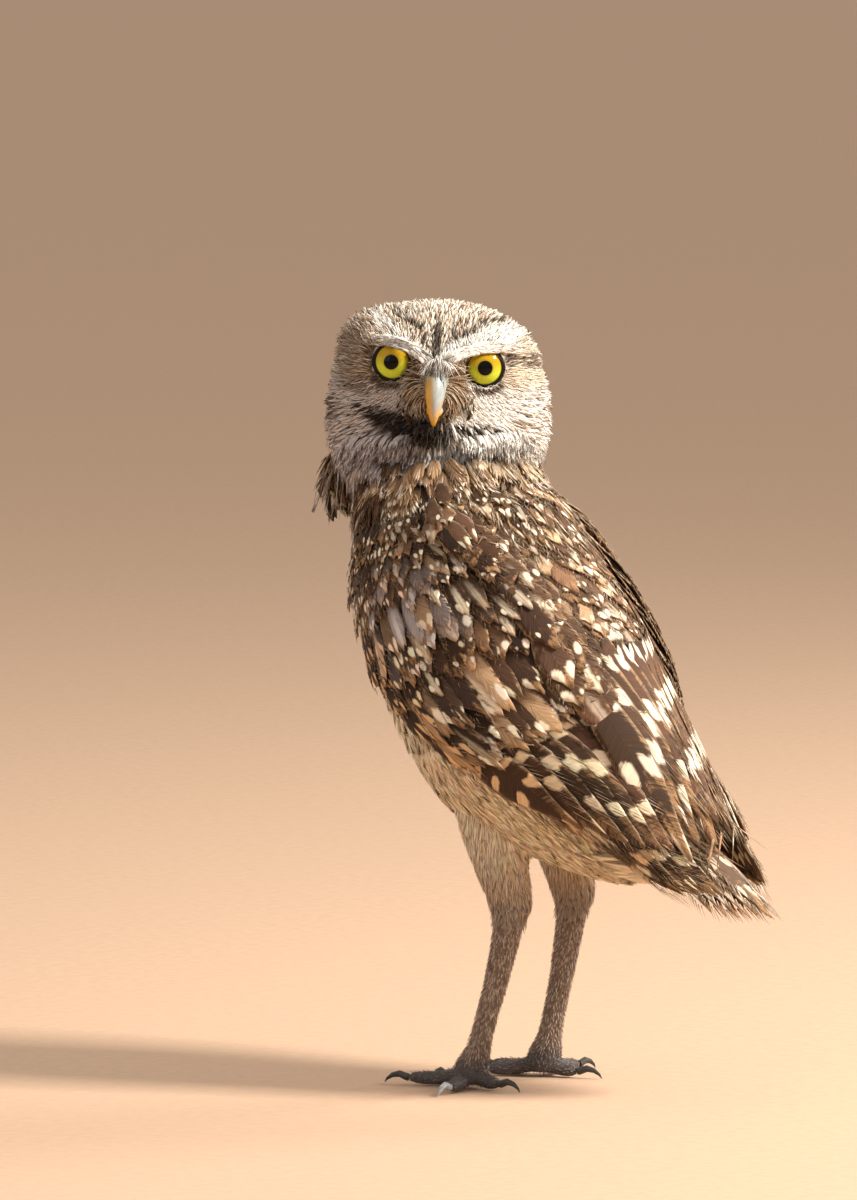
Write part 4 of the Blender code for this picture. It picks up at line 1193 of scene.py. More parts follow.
def face_bristles(surface, rng, material):
    """Curved bristles that fan out on both sides of the bill, and finer ones over its root."""
    roots, lie, lengths, bends = [], [], [], []
    for side in (1, -1):
        for _ in range(SIDE_BRISTLES):
            share = rng.random()
            height = 6.8 - 9.5 * share
            root = [side * (3.6 + 1.6 * math.sin(math.pi * share) + rng.normal(0, 0.5)), -27.0, height]
            fan = math.radians(55.0 - 125.0 * share + rng.normal(0, 10.0))
            roots.append(root)
            lie.append([side * math.cos(fan), 0.0, math.sin(fan)])
            lengths.append(rng.uniform(4.0, 8.5) * (0.7 + 0.6 * math.sin(math.pi * share)))
            bends.append(-side * rng.uniform(25.0, 75.0))
    roots, lie = in_head(roots), np.array(lie) @ HEAD_FRAME.T
    paths, outs = surface.walk(roots, lie, np.array(lengths), 6, np.array(bends))
    starts, middles, ends = [], [], []
    for _ in range(FORE_BRISTLES):
        across = rng.normal(0, 1.0)
        start = np.array([across * 1.5, -24.6 - 0.4 * rng.random(),
                          8.4 + 1.6 * rng.random() - 0.5 * abs(across)])
        drop = rng.uniform(2.2, 4.6)
        starts.append(start)
        middles.append(start + [across * 0.9, -2.6, -0.1 * drop])
        ends.append(start + [across * 1.9, -3.2 - 0.3 * drop, -drop])
    forward = np.tile(np.array([0.0, -1.0, 0.25]) @ HEAD_FRAME.T, (FORE_BRISTLES, 1))
    over, facing = bowed(in_head(starts), in_head(middles), in_head(ends), (forward, forward), 6)
    paths, outs = np.concatenate([paths, over]), np.concatenate([outs, facing])
    roots = np.concatenate([roots, in_head(starts)])
    count = len(roots)
    pick = rng.random((count, 1))
    ground = np.where(pick < 0.42, UMBER * 1.1, np.where(pick < 0.75, srgb(206, 186, 160), TAN))
    fore = np.where(pick < 0.28, GREY_BROWN * 0.7, np.where(pick < 0.8, srgb(204, 200, 194), WHITE))
    ground[-FORE_BRISTLES:] = fore[-FORE_BRISTLES:]
    return grow("face_bristles", material, gathered(lens(3, 6, lock_width, 0.05)), paths, outs,
                0.17, (ground, CREAM, marked(count)), unwrap_head(roots), rng, rise=(0.1, 2.0), thick=0.2,
                stray=0.1)


# Feathers of the body
def wing_span(ring):
    """The wing's upper and lower angles at rings of the torso."""
    return [np.interp(ring, WING_ON_TORSO[:, 0], WING_ON_TORSO[:, k]) for k in (3, 1)]


def tone(base, count, rng, spread=0.22):
    return base * (1 + rng.normal(0, spread, (count, 1))) * (1 + rng.normal(0, 0.03, (count, 3)))


def brown_mix(count, rng):
    """Ground colours of the back's feathers: dark brown, with warmer and paler ones among them."""
    pick = rng.random((count, 1))
    mix = np.where(pick < 0.56, UMBER, np.where(pick < 0.82, srgb(112, 84, 62), srgb(168, 138, 108)))
    return mix * (1 + rng.normal(0, 0.2, (count, 1)))


def body_rows(rings, step_ring, angles, step_mm, rng, jitter=0.25):
    """Staggered places over the torso, as ring and angle: so far apart along it and round it."""
    rows = []
    for number, ring in enumerate(np.arange(*rings, step_ring)):
        low, high = angles(ring)
        _, _, _, half, breast, back = row_at(PLUMAGE, ring + 1)
        radius = (half + (breast + back) / 2) / 2
        count = max(2, int(math.radians(high - low) * radius / step_mm))
        for i in range(count):
            share = (i + 0.5 * (number % 2) + rng.normal(0, jitter * 0.5)) / count
            rows.append((max(ring + rng.normal(0, jitter * step_ring), -0.94), low + (high - low) * share))
    return np.array(rows).T


def coat_breast(rng, material):
    ring, angle = body_rows((-0.7, 4.6), 0.165, lambda ring: (wing_span(ring)[1] - 16.0,
                                                             376.0 - wing_span(ring)[1]), 3.0, rng)
    count = len(ring)
    drift = rng.normal(0, 5.0, count)
    paths, outs = torso_paths(ring, angle, rng.uniform(8.0, 11.5, count), drift, lambda ring, angle: -1.4)
    low = smooth(ring, 0.4, 3.4)[:, None]
    ground = tone(LILAC_GREY * [1.06, 0.98, 0.92], count, rng, 0.10) * (1 - low)
    ground = ground + tone(PALE_BELLY, count, rng, 0.07) * low
    beside = (smooth(ring, 2.2, 0.8) * smooth(angle, 160.0, 146.0))[:, None]
    ground = ground * (1 - beside) + tone(UMBER * 1.6, count, rng, 0.2) * beside
    streaked = rng.random(count) < 0.62 - 0.40 * low[:, 0]
    marks = marked(count, streaked * rng.uniform(0.35, 0.7, count), streak=(rng.random(count) < 0.2) * 0.5)
    return grow("breast_coat", material, plume(4), paths, outs, rng.uniform(2.2, 3.0, count),
                (ground, UMBER * 1.7, marks), unwrap_body(paths[:, 0]), rng, rise=(-0.8, 1.4), thick=0.22,
                stray=0.12)


def coat_belly(rng, material):
    ring, angle = body_rows((4.2, 8.4), 0.15, lambda ring: (wing_span(ring)[1] - 24.0,
                                                            384.0 - wing_span(ring)[1]), 2.8, rng)
    count = len(ring)
    paths, outs = torso_paths(ring, angle, rng.uniform(9.0, 14.0, count), rng.normal(0, 8.0, count),
                              lambda ring, angle: -0.8)
    along, up = tail_axes()
    below = 200
    ring, angle = rng.uniform(7.4, 8.9, below), rng.uniform(96.0, 264.0, below)
    starts = torso_point(ring, angle, -0.8)
    across = np.sin(np.radians(angle))[:, None] * [1.0, 0.0, 0.0]
    ends = TAIL_ROOT + along * rng.uniform(12.0, 28.0, (below, 1)) - up * rng.uniform(6.5, 9.5, (below, 1))
    ends = ends + across * 9.0
    middles = (starts + ends) / 2 + np.array([0.0, 0.83, -0.56]) * rng.uniform(3.0, 5.5, (below, 1))
    middles = middles + across * 2.0
    facing = np.tile(-up, (below, 1)) + across
    more, facing = bowed(starts, middles, ends, (facing, facing), paths.shape[1])
    paths, outs = np.concatenate([paths, more]), np.concatenate([outs, facing])
    count += below
    ground = tone(PALE_BELLY * [1.02, 0.93, 0.8], count, rng, 0.03)
    marks = marked(count, edge=0.3 * rng.random(count), streak=0.2 * rng.random(count))
    return grow("belly_coat", material, plume(4), paths, outs, rng.uniform(2.2, 3.0, count),
                (ground, PALE_BELLY, marks), unwrap_body(paths[:, 0]), rng, rise=(-0.3, 1.0), thick=0.2,
                stray=0.14)


def over_wing(ring, angle):
    """How far the back's feathers stand off the torso, rising over the wing's upper edge."""
    top = wing_span(ring)[0]
    middle = 1.6 * smooth(ring, 2.5, 5.0) * smooth(np.abs(angle), 30.0, 8.0)
    return -0.6 + 4.6 * smooth(np.abs(angle), top - 22.0, top - 3.0) + middle


def spotted(count, rng, share, low, high):
    """Mark sizes and edges for dark feathers, of which a share carries pale spots."""
    return marked(count, (rng.random(count) < share) * rng.uniform(low, high, count), 0.0,
                  rng.uniform(0.4, 1.0, count), (rng.random(count) < 0.25) * rng.uniform(0.4, 0.9, count))


def coat_mantle(rng, material):
    ring, angle = body_rows((-0.3, 6.9), 0.26,
                            lambda ring: (3.0 - wing_span(ring)[0], wing_span(ring)[0] - 3.0), 5.8, rng)
    count = len(ring)
    grown = smooth(ring, -0.5, 3.0)
    lengths = (9.5 + 5.5 * grown) * rng.uniform(0.9, 1.15, count)
    halves = (3.0 + 1.9 * grown) * rng.uniform(0.85, 1.1, count)
    drift = np.sign(angle) * 3.0 * smooth(ring, 1.5, 0.0) - np.sign(angle) * 2.0 * smooth(ring, 2.0, 5.0)
    paths, outs = torso_paths(ring, angle, lengths, drift + rng.normal(0, 3.5, count), over_wing)
    ground = brown_mix(count, rng) * (1 + 0.35 * smooth(angle, 40.0, 0.0)[:, None])
    light = CREAM * rng.uniform(0.75, 1.05, (count, 1))
    return grow("mantle", material, vaned(7, 7, contour_width, 12, 0.26, 0.012), paths, outs, halves,
                (ground, light, spotted(count, rng, 0.6, 0.45, 1.0)), unwrap_body(paths[:, 0]), rng,
                rise=(-1.0, 1.5), thick=0.22, ragged=0.06)


def scapulars(rng, material):
    """The longer feathers that lie from the back over the wing's upper edge."""
    rings, angles, lengths, halves = [], [], [], []
    for side in (1, -1):
        for row, inset in enumerate((15.0, 8.0, 1.5)):
            for ring in np.arange(0.4 + 0.2 * row, 5.1, 0.62):
                rings.append(ring + rng.normal(0, 0.06))
                angles.append(side * (wing_span(ring)[0] - inset + rng.normal(0, 0.8)))
                lengths.append((11.5 + 11.5 * smooth(ring, 0.5, 3.5)) * rng.uniform(0.93, 1.07))
                halves.append(3.1 + 2.8 * smooth(ring, 0.5, 3.5))
    ring, angle = np.array(rings), np.array(angles)
    count = len(ring)
    slope = (wing_span(ring + 0.5)[0] - wing_span(ring - 0.5)[0]) * np.sign(angle)
    paths, outs = torso_paths(ring, angle, np.array(lengths), slope * 0.8,
                              lambda ring, angle: over_wing(ring, angle) + 0.4, 8)
    light = tone(CREAM, count, rng, 0.08)
    top = wing_span(ring)[0]
    # A painted shadow where the scapulars lie over the wing's upper edge: darker ground and fewer spots
    fold_shadow = smooth(np.abs(angle), top - 9.0, top - 4.0) * smooth(ring, 3.4, 2.2)
    ground = tone(UMBER * 1.2, count, rng, 0.18) * (1 - 0.6 * fold_shadow[:, None])
    marks = spotted(count, rng, 0.85, 0.6, 0.95)
    marks[:, 0] *= 1 - 0.7 * fold_shadow
    return grow("scapulars", material, vaned(7, 10, contour_width, 14, 0.22, 0.009), paths, outs,
                np.array(halves), (ground, light, marks), unwrap_body(paths[:, 0]), rng, rise=(-0.4, 1.5),
                thick=0.24, ragged=0.04)


def bowed(starts, middles, ends, outs, count):
    """Lines bowed from start to end past their middles, with outward directions squared to them."""
    t = np.linspace(0, 1, count)[None, :, None]
    starts, middles, ends = (np.asarray(places)[:, None] for places in (starts, middles, ends))
    places = ((1 - t) ** 2) * starts + 2 * t * (1 - t) * middles + t * t * ends
    along = np.gradient(places, axis=1)
    facing = outs[0][:, None] * (1 - t) + outs[1][:, None] * t
    facing = facing - along * (facing * along).sum(-1, keepdims=True) / (along**2).sum(-1, keepdims=True)
    return places, unit(facing)


TERTIALS = 6


def rump_feathers(rng, covert, flight):
    """Tertials folded over the rump, and the coverts that run out over the root of the tail."""
    along, up = tail_axes()
    starts, middles, ends, out_a, out_b = [], [], [], [], []
    for side in (1, -1):
        for share in np.arange(TERTIALS) / (TERTIALS - 1.0):
            ring, angle = 3.9 + 0.5 * share, side * (38.0 - 35.0 * share)
            starts.append(torso_point(np.array(ring), np.array(angle), 2.0))
            middles.append(torso_point(np.array(ring + 1.9), np.array(angle * 0.85), 5.0 - 2.6 * share))
            end = np.array([side * (17.5 - 15.0 * share), 68.0 + 3.0 * share, 79.5 + 3.5 * share])
            ends.append(end + rng.normal(0, 0.6, 3))
            out_a.append([side * math.sin(math.radians(abs(angle))), 0.7, 0.5])
            out_b.append([side * (0.75 - 0.35 * share), 0.62, 0.75])
    paths, outs = bowed(starts, middles, ends, (unit(np.array(out_a)), unit(np.array(out_b))), 9)
    count = len(paths)
    marks = marked(count, 0.0, rng.uniform(0.28, 0.36, count), 0.9)
    order = np.arange(TERTIALS) * 0.32
    paths = paths + outs * np.concatenate([order, order - 0.25])[:, None, None]
    colours = (tone(UMBER * 1.3, count, rng, 0.2), tone(CREAM * 0.95, count, rng, 0.05), marks)
    tertials = grow("tertials", flight, vaned(9, 16, contour_width, 16, 0.26, 0.008), paths, outs,
                    6.8, colours, unwrap_body(paths[:, 0]), rng, rise=(-0.5, 0.6), thick=0.28, ragged=0.02,
                    stray=0.05)
    starts, middles, ends = [], [], []
    for row in range(6):
        for i in range(9):
            share = (i + 0.5 * (row % 2)) / 8.5 - 0.5
            angle = share * 92.0
            ring = 5.7 + 0.27 * row
            starts.append(torso_point(np.array(ring), np.array(angle), -0.5))
            middles.append(torso_point(np.array(ring + 0.55), np.array(angle * 0.9), 2.6))
            reach = 4.0 + 4.6 * row + rng.normal(0, 0.8)
            ends.append(TAIL_ROOT + along * reach + up * (5.0 - 0.5 * row - 9.0 * share * share)
                        + np.array([share * (34.0 - 2.4 * row), 0.0, 0.0]))
    facing = unit(np.array([[0.0, 0.70, 0.70]]) + np.array(starts) * [[0.02, 0, 0]])
    paths, outs = bowed(starts, middles, ends, (facing, np.tile(up, (len(starts), 1))), 7)
    count = len(paths)
    colours = (tone(UMBER, count, rng, 0.15), tone(CREAM, count, rng, 0.08),
               spotted(count, rng, 0.7, 0.5, 0.9))
    coverts = grow("tail_coverts", covert, vaned(7, 9, contour_width, 13, 0.24, 0.01), paths, outs,
                   3.6, colours, unwrap_body(paths[:, 0]), rng, rise=(-0.5, 1.0), thick=0.24, ragged=0.05)
    return [tertials, coverts]


def sheet_paths(side, starts, ends, lifts, count=STATIONS):
    """Middle lines on a wing's sheet from run and spread at the root to those at the tip."""
    paths, outs = [], []
    for step in np.linspace(0, 1, count):
        at = starts + (ends - starts) * step
        here, out = wing_frame(at[:, 0], at[:, 1])
        paths.append((here + out * np.interp(step, np.linspace(0, 1, len(lifts)), lifts)) * [side, 1, 1])
        outs.append(out * [side, 1, 1])
    return np.stack(paths, 1), np.stack(outs, 1)


def tier(count, roots, tips, bow):
    shares = np.linspace(0, 1, count)[:, None]
    starts = np.array(roots[0]) * (1 - shares) + np.array(roots[1]) * shares
    ends = np.array(tips[0]) * (1 - shares) + np.array(tips[1]) * shares
    ends[:, 0] += bow * np.sin(np.pi * shares[:, 0])
    return starts, ends


# Tiers of the folded wing: count, first and last root and tip as run and spread, how far the middle
# ones reach past those, half width, and how far it stands off the sheet from root to tip
FLIGHT = {
    "primaries": (6, ((4.0, 0.10), (4.2, 0.50)), ((7.25, 0.06), (7.85, 0.80)), 0.1, 5.2,
                  (-1.9, -1.6, -1.3, -1.0, -0.8)),
    "secondaries": (7, ((3.4, 0.12), (3.7, 0.84)), ((5.7, 0.10), (7.0, 0.88)), 0.1, 7.0,
                    (-1.4, -0.9, 0.3, 1.1, 1.3)),
}
COVERTS = {
    "greater_coverts": (11, ((2.3, 0.04), (2.7, 0.90)), ((4.1, 0.05), (4.6, 0.90)), 0.12, 4.3,
                        (-1.2, -0.6, 0.6, 1.5, 1.9)),
    "median_coverts": (11, ((1.8, 0.04), (2.0, 0.92)), ((3.2, 0.04), (3.5, 0.92)), 0.12, 4.1,
                       (-1.0, -0.4, 0.9, 1.8, 2.2)),
}


def wing_feathers(side, word, rng, flight, covert):
    rows = []
    for count, roots, tips, bow, half, lifts in FLIGHT.values():
        starts, ends = tier(count, roots, tips, bow)
        rows.append((*sheet_paths(side, starts, ends, lifts, 9), np.full(count, half), starts[:, 1]))
    paths, outs, halves, spreads = (np.concatenate(part) for part in zip(*rows))
    count = len(paths)
    upper = smooth(spreads, 0.5, 0.85)[:, None]
    ground = tone(UMBER * 0.66, count, rng, 0.1) * (1 + 0.9 * upper)
    warm = smooth(spreads, 0.35, 0.12)[:, None] * 0.8
    light = tone(srgb(232, 212, 180), count, rng, 0.05) * (1 - warm) + srgb(210, 166, 122) * warm
    tilt = np.full(count, -side * math.radians(9.0))
    colours = (ground, light, marked(count, bars=0.45, edge=0.5))
    feathers = grow(f"flight_feathers_{word}", flight, vaned(9, 22, flight_width, 16, 0.22, 0.006), paths,
                    outs, halves, colours, unwrap_body(paths[:, 0]), rng, rise=(0.0, 0.0), thick=0.3,
                    camber=0.08, tilt=tilt, ragged=0.012, stray=0.01)
    rows = []
    for count, roots, tips, bow, half, lifts in COVERTS.values():
        starts, ends = tier(count, roots, tips, bow)
        ends = ends + rng.normal(0, 0.05, ends.shape) * [1.0, 0.2]
        spots = (rng.random(count) < 0.85) * rng.uniform(0.6, 0.9, count)
        rows.append((*sheet_paths(side, starts, ends, lifts), np.full(count, half), spots, starts))
    for number, run in enumerate([*np.arange(-0.3, 0.95, 0.19), *np.arange(1.05, 1.95, 0.27)]):
        count, short = (13, 0.72) if run < 1.0 else (10, 1.0)
        across = (np.arange(count) + 0.5 * (number % 2)) / (count - 0.5)
        starts = np.stack([np.full(count, run), 0.02 + 0.96 * across], 1)
        starts += rng.normal(0, 0.022, starts.shape) * [2.0, 1.0]
        length = rng.uniform(0.68, 0.88, count) * short
        ends = np.clip(starts + np.stack([length, rng.normal(0, 0.02, count)], 1), -1.0, [9.0, 1.0])
        half = np.full(count, 3.7 * (0.2 + 0.8 * short))
        spots = (rng.random(count) < 0.6) * rng.uniform(0.5, 0.95, count)
        rows.append((*sheet_paths(side, starts, ends, (-1.0, -0.2, 0.8, 1.5, 1.8)), half, spots, starts))
    paths, outs, halves, spots, places = (np.concatenate(part) for part in zip(*rows))
    count = len(paths)
    marks = marked(count, spots, 0.0, rng.uniform(0.5, 1.0, count),
                   (rng.random(count) < 0.3) * rng.uniform(0.3, 0.8, count))
    run, spread = places.T
    greyer = np.exp(-(((run - 0.95) / 0.5) ** 2) - ((spread - 0.4) / 0.28) ** 2)[:, None]
    greyer = np.minimum(1.0, greyer * 1.3) * (rng.random((count, 1)) < 0.6)
    shoulder = smooth(run, 1.8, 0.8)[:, None] * 0.3
    lower = 0.5 * smooth(spread, 0.75, 0.3)[:, None]
    ground = brown_mix(count, rng) * (1 - shoulder) * (1 - lower) * (1 - greyer)
    ground = ground + srgb(150, 142, 142) * greyer
    # A painted shadow along the wing's upper edge, under the edge of the scapulars
    under = smooth(spread, 0.76, 0.92)[:, None] * 0.85
    ground = ground * (1 - under) + DARK_UMBER * under
    light = tone(CREAM, count, rng, 0.08) * (1 - greyer) + srgb(220, 214, 214) * greyer
    fore = (smooth(spread, 0.26, 0.1) * smooth(run, 0.5, 1.1))[:, None]
    ground = ground * (1 - fore) + DARK_UMBER * 1.4 * fore
    light = light * (1 - fore) + srgb(214, 168, 122) * fore
    marks[:, 0] = np.where(fore[:, 0] > 0.5, 0.0, marks[:, 0])
    marks[:, 1] = np.where(fore[:, 0] > 0.5, 0.2, 0.0)
    coverts = grow(f"wing_coverts_{word}", covert, vaned(7, 9, contour_width, 13, 0.22, 0.009), paths, outs,
                   halves * rng.uniform(0.88, 1.1, count), (ground, light, marks), unwrap_body(paths[:, 0]),
                   rng, rise=(0.0, 0.3), thick=0.24, ragged=0.05)
    return [feathers, coverts]


def tail_feathers(rng, flight):
    along, up = tail_axes()
    paths, outs = [], []
    for rank in range(2 * TAIL_PAIRS):
        pair, side = rank // 2, 1 if rank % 2 == 0 else -1
        length = TAIL_LENGTH - 3.0 - 0.35 * pair * pair
        line = []
        for step in np.linspace(0, 1, 9):
            sweep = side * (TAIL_PITCH * pair + TAIL_PITCH / 2) * (0.4 + 0.6 * step)
            droop = rank * TAIL_STACK * 0.8 * (0.55 + 0.45 * step) + 1.5 * step * step
            line.append(TAIL_ROOT + along * (4.0 + (length - 4.0) * step) - up * droop + [sweep, 0, 0])
        paths.append(line)
        outs.append([up] * 9)
    paths, outs = np.array(paths), np.array(outs)
    count = len(paths)
    upper = (np.arange(count) < 6)[:, None]
    ground = np.where(upper, srgb(92, 72, 57), tone(UMBER * 0.8, count, rng, 0.1))
    light = np.where(upper, srgb(212, 190, 164), CREAM * 0.85)
    return grow("tail_feathers", flight, vaned(9, 22, flight_width, 20, 0.22, 0.006), paths, outs,
                TAIL_WIDTH / 2, (ground, light, marked(count, bars=0.40, edge=1.0)), unwrap_body(paths[:, 0]),
                rng, rise=(0.0, 0.0), thick=0.3, camber=0.06, ragged=0.02, stray=0.015)


NECK_AXIS = np.array([0.0, -28.0, 0.0])


def round_neck(bearing):
    """Outward and sideways directions at bearings about the neck."""
    c, s, level = np.cos(bearing), np.sin(bearing), np.zeros(len(bearing))
    return np.stack([c, s, level], 1), np.stack([-s, c, level], 1)


def bearing_side(bearing):
    """How far a bearing about the neck points to the owl's left, as the head is turned."""
    return np.cos(bearing - math.radians(HEAD_TURN))


def collar(surface, rng, material):
    """Short feathers at the head's lower edge, hanging over the roots of those on the neck."""
    count = 2000
    bearing = rng.uniform(0, 2 * math.pi, count)
    outward, side = round_neck(bearing)
    seat = NECK_AXIS + outward * 36.0
    seat[:, 2] = rng.uniform(190.5, 198.0, count) + 3.0 * smooth(bearing_side(bearing), 0.2, 0.9)
    roots, _ = surface.snap(seat)
    behind = smooth(to_head(roots)[:, 1], 2.0, 16.0)
    lengths = rng.uniform(4.0, 6.5, count) * (1 + 1.1 * behind)
    reach = np.linalg.norm((roots - NECK_AXIS)[:, :2], axis=1)
    swing = np.clip(33.2 - reach + rng.normal(0, 0.5, count), 1.0, 7.0) * (1 - 0.45 * behind)
    swing = swing * (1 - 0.6 * smooth(bearing_side(bearing), 0.3, 0.95))
    middles = roots + outward * swing[:, None] * 0.9
    middles[:, 2] -= lengths * 0.3
    ends = roots + outward * swing[:, None] * 0.95 + side * rng.normal(0, 0.7, (count, 1))
    ends[:, 2] -= lengths
    paths, outs = bowed(roots, middles, ends, (outward, outward), 5)
    colours = head_markings(to_head(paths[:, 3]), rng)
    return grow("collar", material, plume(2), paths, outs, rng.uniform(0.6, 1.0, count), colours,
                unwrap_head(roots), rng, rise=(-0.2, 0.3), thick=0.16, ragged=0.1, stray=0.14)


def breast_tuft(surface, rng, material):
    """Long soft feathers that hang from under the face and stand off the breast."""
    count, middle_bearing = 520, 270.0
    bearing = np.radians(middle_bearing + rng.normal(0, 1, count) * 17.0)
    outward, side = round_neck(bearing)
    seat = NECK_AXIS + outward * 40.0
    seat[:, 2] = rng.uniform(181.0, 194.0, count)
    roots, _ = surface.snap(seat)
    lengths = rng.uniform(7.0, 15.0, count)
    from_middle = np.abs(bearing - math.radians(middle_bearing))
    swing = rng.uniform(0.3, 1.0, count) * 8.5 * smooth(from_middle, 0.75, 0.15)
    ends = roots + outward * swing[:, None] * 1.15 + side * rng.normal(0, 2.2, (count, 1))
    ends[:, 2] -= lengths
    middles = roots + outward * swing[:, None] * 0.85
    middles[:, 2] -= lengths * 0.35
    paths, outs = bowed(roots, middles, ends, (outward, outward), 6)
    pick = rng.random((count, 1))
    ground = np.where(pick < 0.45, UMBER * 1.3, np.where(pick < 0.75, TAN, LILAC_GREY * 0.9))
    marks = spotted(count, rng, 0.4, 0.8, 1.2) * [1, 1, 0, 0]
    return grow("breast_tuft", material, plume(3), paths, outs, rng.uniform(1.0, 1.7, count),
                (ground, DARK_UMBER, marks),
                unwrap_about(roots, np.array([0.0, -25.0, 182.0]), [0, 0, -1.0], 40.0), rng, rise=(-0.2, 0.8),
                thick=0.22, stray=0.2)


# Legs
def coat_legs(surface, rng, hair, bristle):
    made = []
    for side, word in SIDES:
        def on_thigh(p):
            return ((p[:, 2] > 53.0) & (p[:, 2] < 92.0) & (np.abs(p[:, 0] - side * LEG_SPREAD) < 11.0)
                    & (p[:, 1] < 2.0 + (92.0 - p[:, 2]) * 0.5 + 12.0))

        roots = surface.strewn(on_thigh, lambda p: 1.05 + 0.4 * smooth(p[:, 2], 58.0, 80.0), rng, 12000)
        count = len(roots)
        lie = np.tile([0.0, 0.12, -1.0], (count, 1)) + rng.normal(0, 0.08, (count, 3))
        lengths = (4.0 + 5.0 * smooth(roots[:, 2], 55.0, 75.0)) * rng.uniform(0.85, 1.15, count)
        paths, outs = surface.walk(roots, lie, lengths, 4)
        high = smooth(roots[:, 2], 56.0, 68.0)[:, None]
        higher = smooth(roots[:, 2], 66.0, 84.0)[:, None]
        thigh = srgb(206, 178, 150) * (1 - higher) + PALE_BELLY * 0.95 * higher
        ground = tone(thigh, count, rng, 0.06) * high
        ground = ground + tone(srgb(160, 142, 128), count, rng, 0.12) * (1 - high)
        marks = marked(count, edge=0.4 * rng.random(count), streak=0.3 * rng.random(count))
        unwrap = unwrap_about(roots, np.array([side * LEG_SPREAD, 3.0, 75.0]), [0, 0.1, -1.0], 60.0)
        made.append(grow(f"thigh_coat_{word}", hair, plume(3), paths, outs,
                         0.9 + 0.5 * smooth(roots[:, 2], 58.0, 76.0), (ground, BUFF, marks), unwrap, rng,
                         rise=(0.0, 1.2), thick=0.18, stray=0.12))

        def on_shank(p):
            return (p[:, 2] > 1.0) & (p[:, 2] < 56.0) & (p[:, 0] * side > 0)

        roots = surface.strewn(on_shank, lambda p: 0.58 + 0.4 * smooth(p[:, 2], 12.0, 3.0), rng, 30000)
        count = len(roots)
        foot = smooth(roots[:, 2], 12.0, 6.0)[:, None]
        centre = np.array([side * LEG_SPREAD, FOOT_BACK[word], 0.0])
        lie = np.array([0.0, -0.2, -1.0]) * (1 - foot) + unit((roots - centre) * [1, 1, 0]) * foot
        lie = lie + rng.normal(0, 0.12, lie.shape)
        lengths = (1.8 - 0.5 * foot[:, 0]) * rng.uniform(0.7, 1.3, count)
        paths, outs = surface.walk(roots, lie, lengths, 4)
        shade = rng.random((count, 1)) < 0.5
        darker = tone(GREY_BROWN, count, rng, 0.18)
        ground = np.where(shade, darker, tone(srgb(184, 168, 154), count, rng, 0.12))
        # Darker blue-grey bristles at the foot: partly their own grey, partly painted shade
        ground = ground * (1 - foot) + tone(srgb(98, 90, 88), count, rng, 0.3) * foot
        marks = marked(count, edge=0.5 * rng.random(count))
        unwrap = unwrap_about(roots, np.array([side * LEG_SPREAD, 0.0, 28.0]), [0, -0.1, -1.0], 60.0)
        made.append(grow(f"shank_bristles_{word}", bristle, gathered(lens(3, 3, lock_width, 0.1)), paths,
                         outs, 0.25, (ground, CREAM, marks), unwrap, rng, rise=(-0.15, 0.55), thick=0.2,
                         stray=0.1))
    return made


# Eyes, lids and bill
def make_eyes():
    def gaze_input(tree):
        return [("Gaze", attribute(tree, "gaze")["Vector"])]

    finish = finished("eye_gloss", iris_group(), gaze_input, 0.05, 0.0001, Coat_Weight=0.3,
                      Coat_Roughness=0.02, Specular_IOR_Level=0.0)
    for side, word in SIDES:
        bpy.ops.object.select_all(action="DESELECT")
        bpy.ops.mesh.primitive_uv_sphere_add(segments=96, ring_count=64, radius=EYE_RADIUS)
        eye = bpy.context.object
        eye.name = f"eyeball_{word}"
        points = corners_of(eye.data)[:, [0, 2, 1]] * [1, -1, 1]
        set_attribute(eye.data, "gaze", "FLOAT_VECTOR", points[:, [0, 2, 1]])
        set_corners(eye.data, in_head(points @ turned("Z", side * EYE_TURN).T + eye_seat(side)))
        face_out(eye.data)
        eye.data.shade_smooth()
        eye.data.materials.append(finish)
        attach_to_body(eye, "root")
        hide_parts(f"eye_{word}")


def make_lids(material):
    for side, word in SIDES:
        gaze = turned("Z", side * EYE_TURN)
        out = math.sqrt(EYE_RADIUS**2 - LID_RADIUS**2) + 0.25
        rings = []
        for i in range(96):
            around = 2 * math.pi * i / 96
            c, s = math.cos(around), math.sin(around)
            radial = np.array([c, 0.0, s * (0.78 if s > 0 else 0.97)])
            outer = max(0.0, side * c) ** 1.5
            middle = radial * (LID_RADIUS + 0.15 - 0.3 * outer) + np.array([0.0, -out, 0.0])
            thick = 0.36 + 0.34 * outer + 0.2 * max(0.0, s) ** 2
            thick += 0.03 * math.sin(around * 23) * math.sin(around * 5)
            rings.append([middle + (radial * math.cos(t) * 1.15 + np.array([0.0, -math.sin(t), 0.0])) * thick
                          for t in np.linspace(0, 2 * math.pi, 12, endpoint=False)])
        rings = np.array(rings) @ gaze.T + eye_seat(side)
        rings = in_head(rings.reshape(-1, 3)).reshape(rings.shape)
        lid = rings_mesh(f"lids_{word}", rings, closed_ends=False)
        lid.data.materials.append(material)
        attach(lid)


# Stations of the bill in the head's own frame: y, z, half width, half height
UPPER_BILL = np.array([
    [-17.0, 4.6, 3.3, 3.5],
    [-25.0, 4.2, 3.6, 3.6],
    [-28.8, 1.9, 3.3, 3.6],
    [-30.6, -1.9, 2.8, 3.1],
    [-30.9, -5.7, 1.9, 2.0],
    [-30.0, -8.7, 1.05, 1.15],
    [-29.2, -10.6, 0.35, 0.35],
])
LOWER_BILL = np.array([
    [-19.0, -5.0, 2.8, 1.6],
    [-25.5, -5.6, 2.8, 1.6],
    [-28.0, -6.6, 2.1, 1.25],
    [-29.4, -7.8, 0.85, 0.6],
])


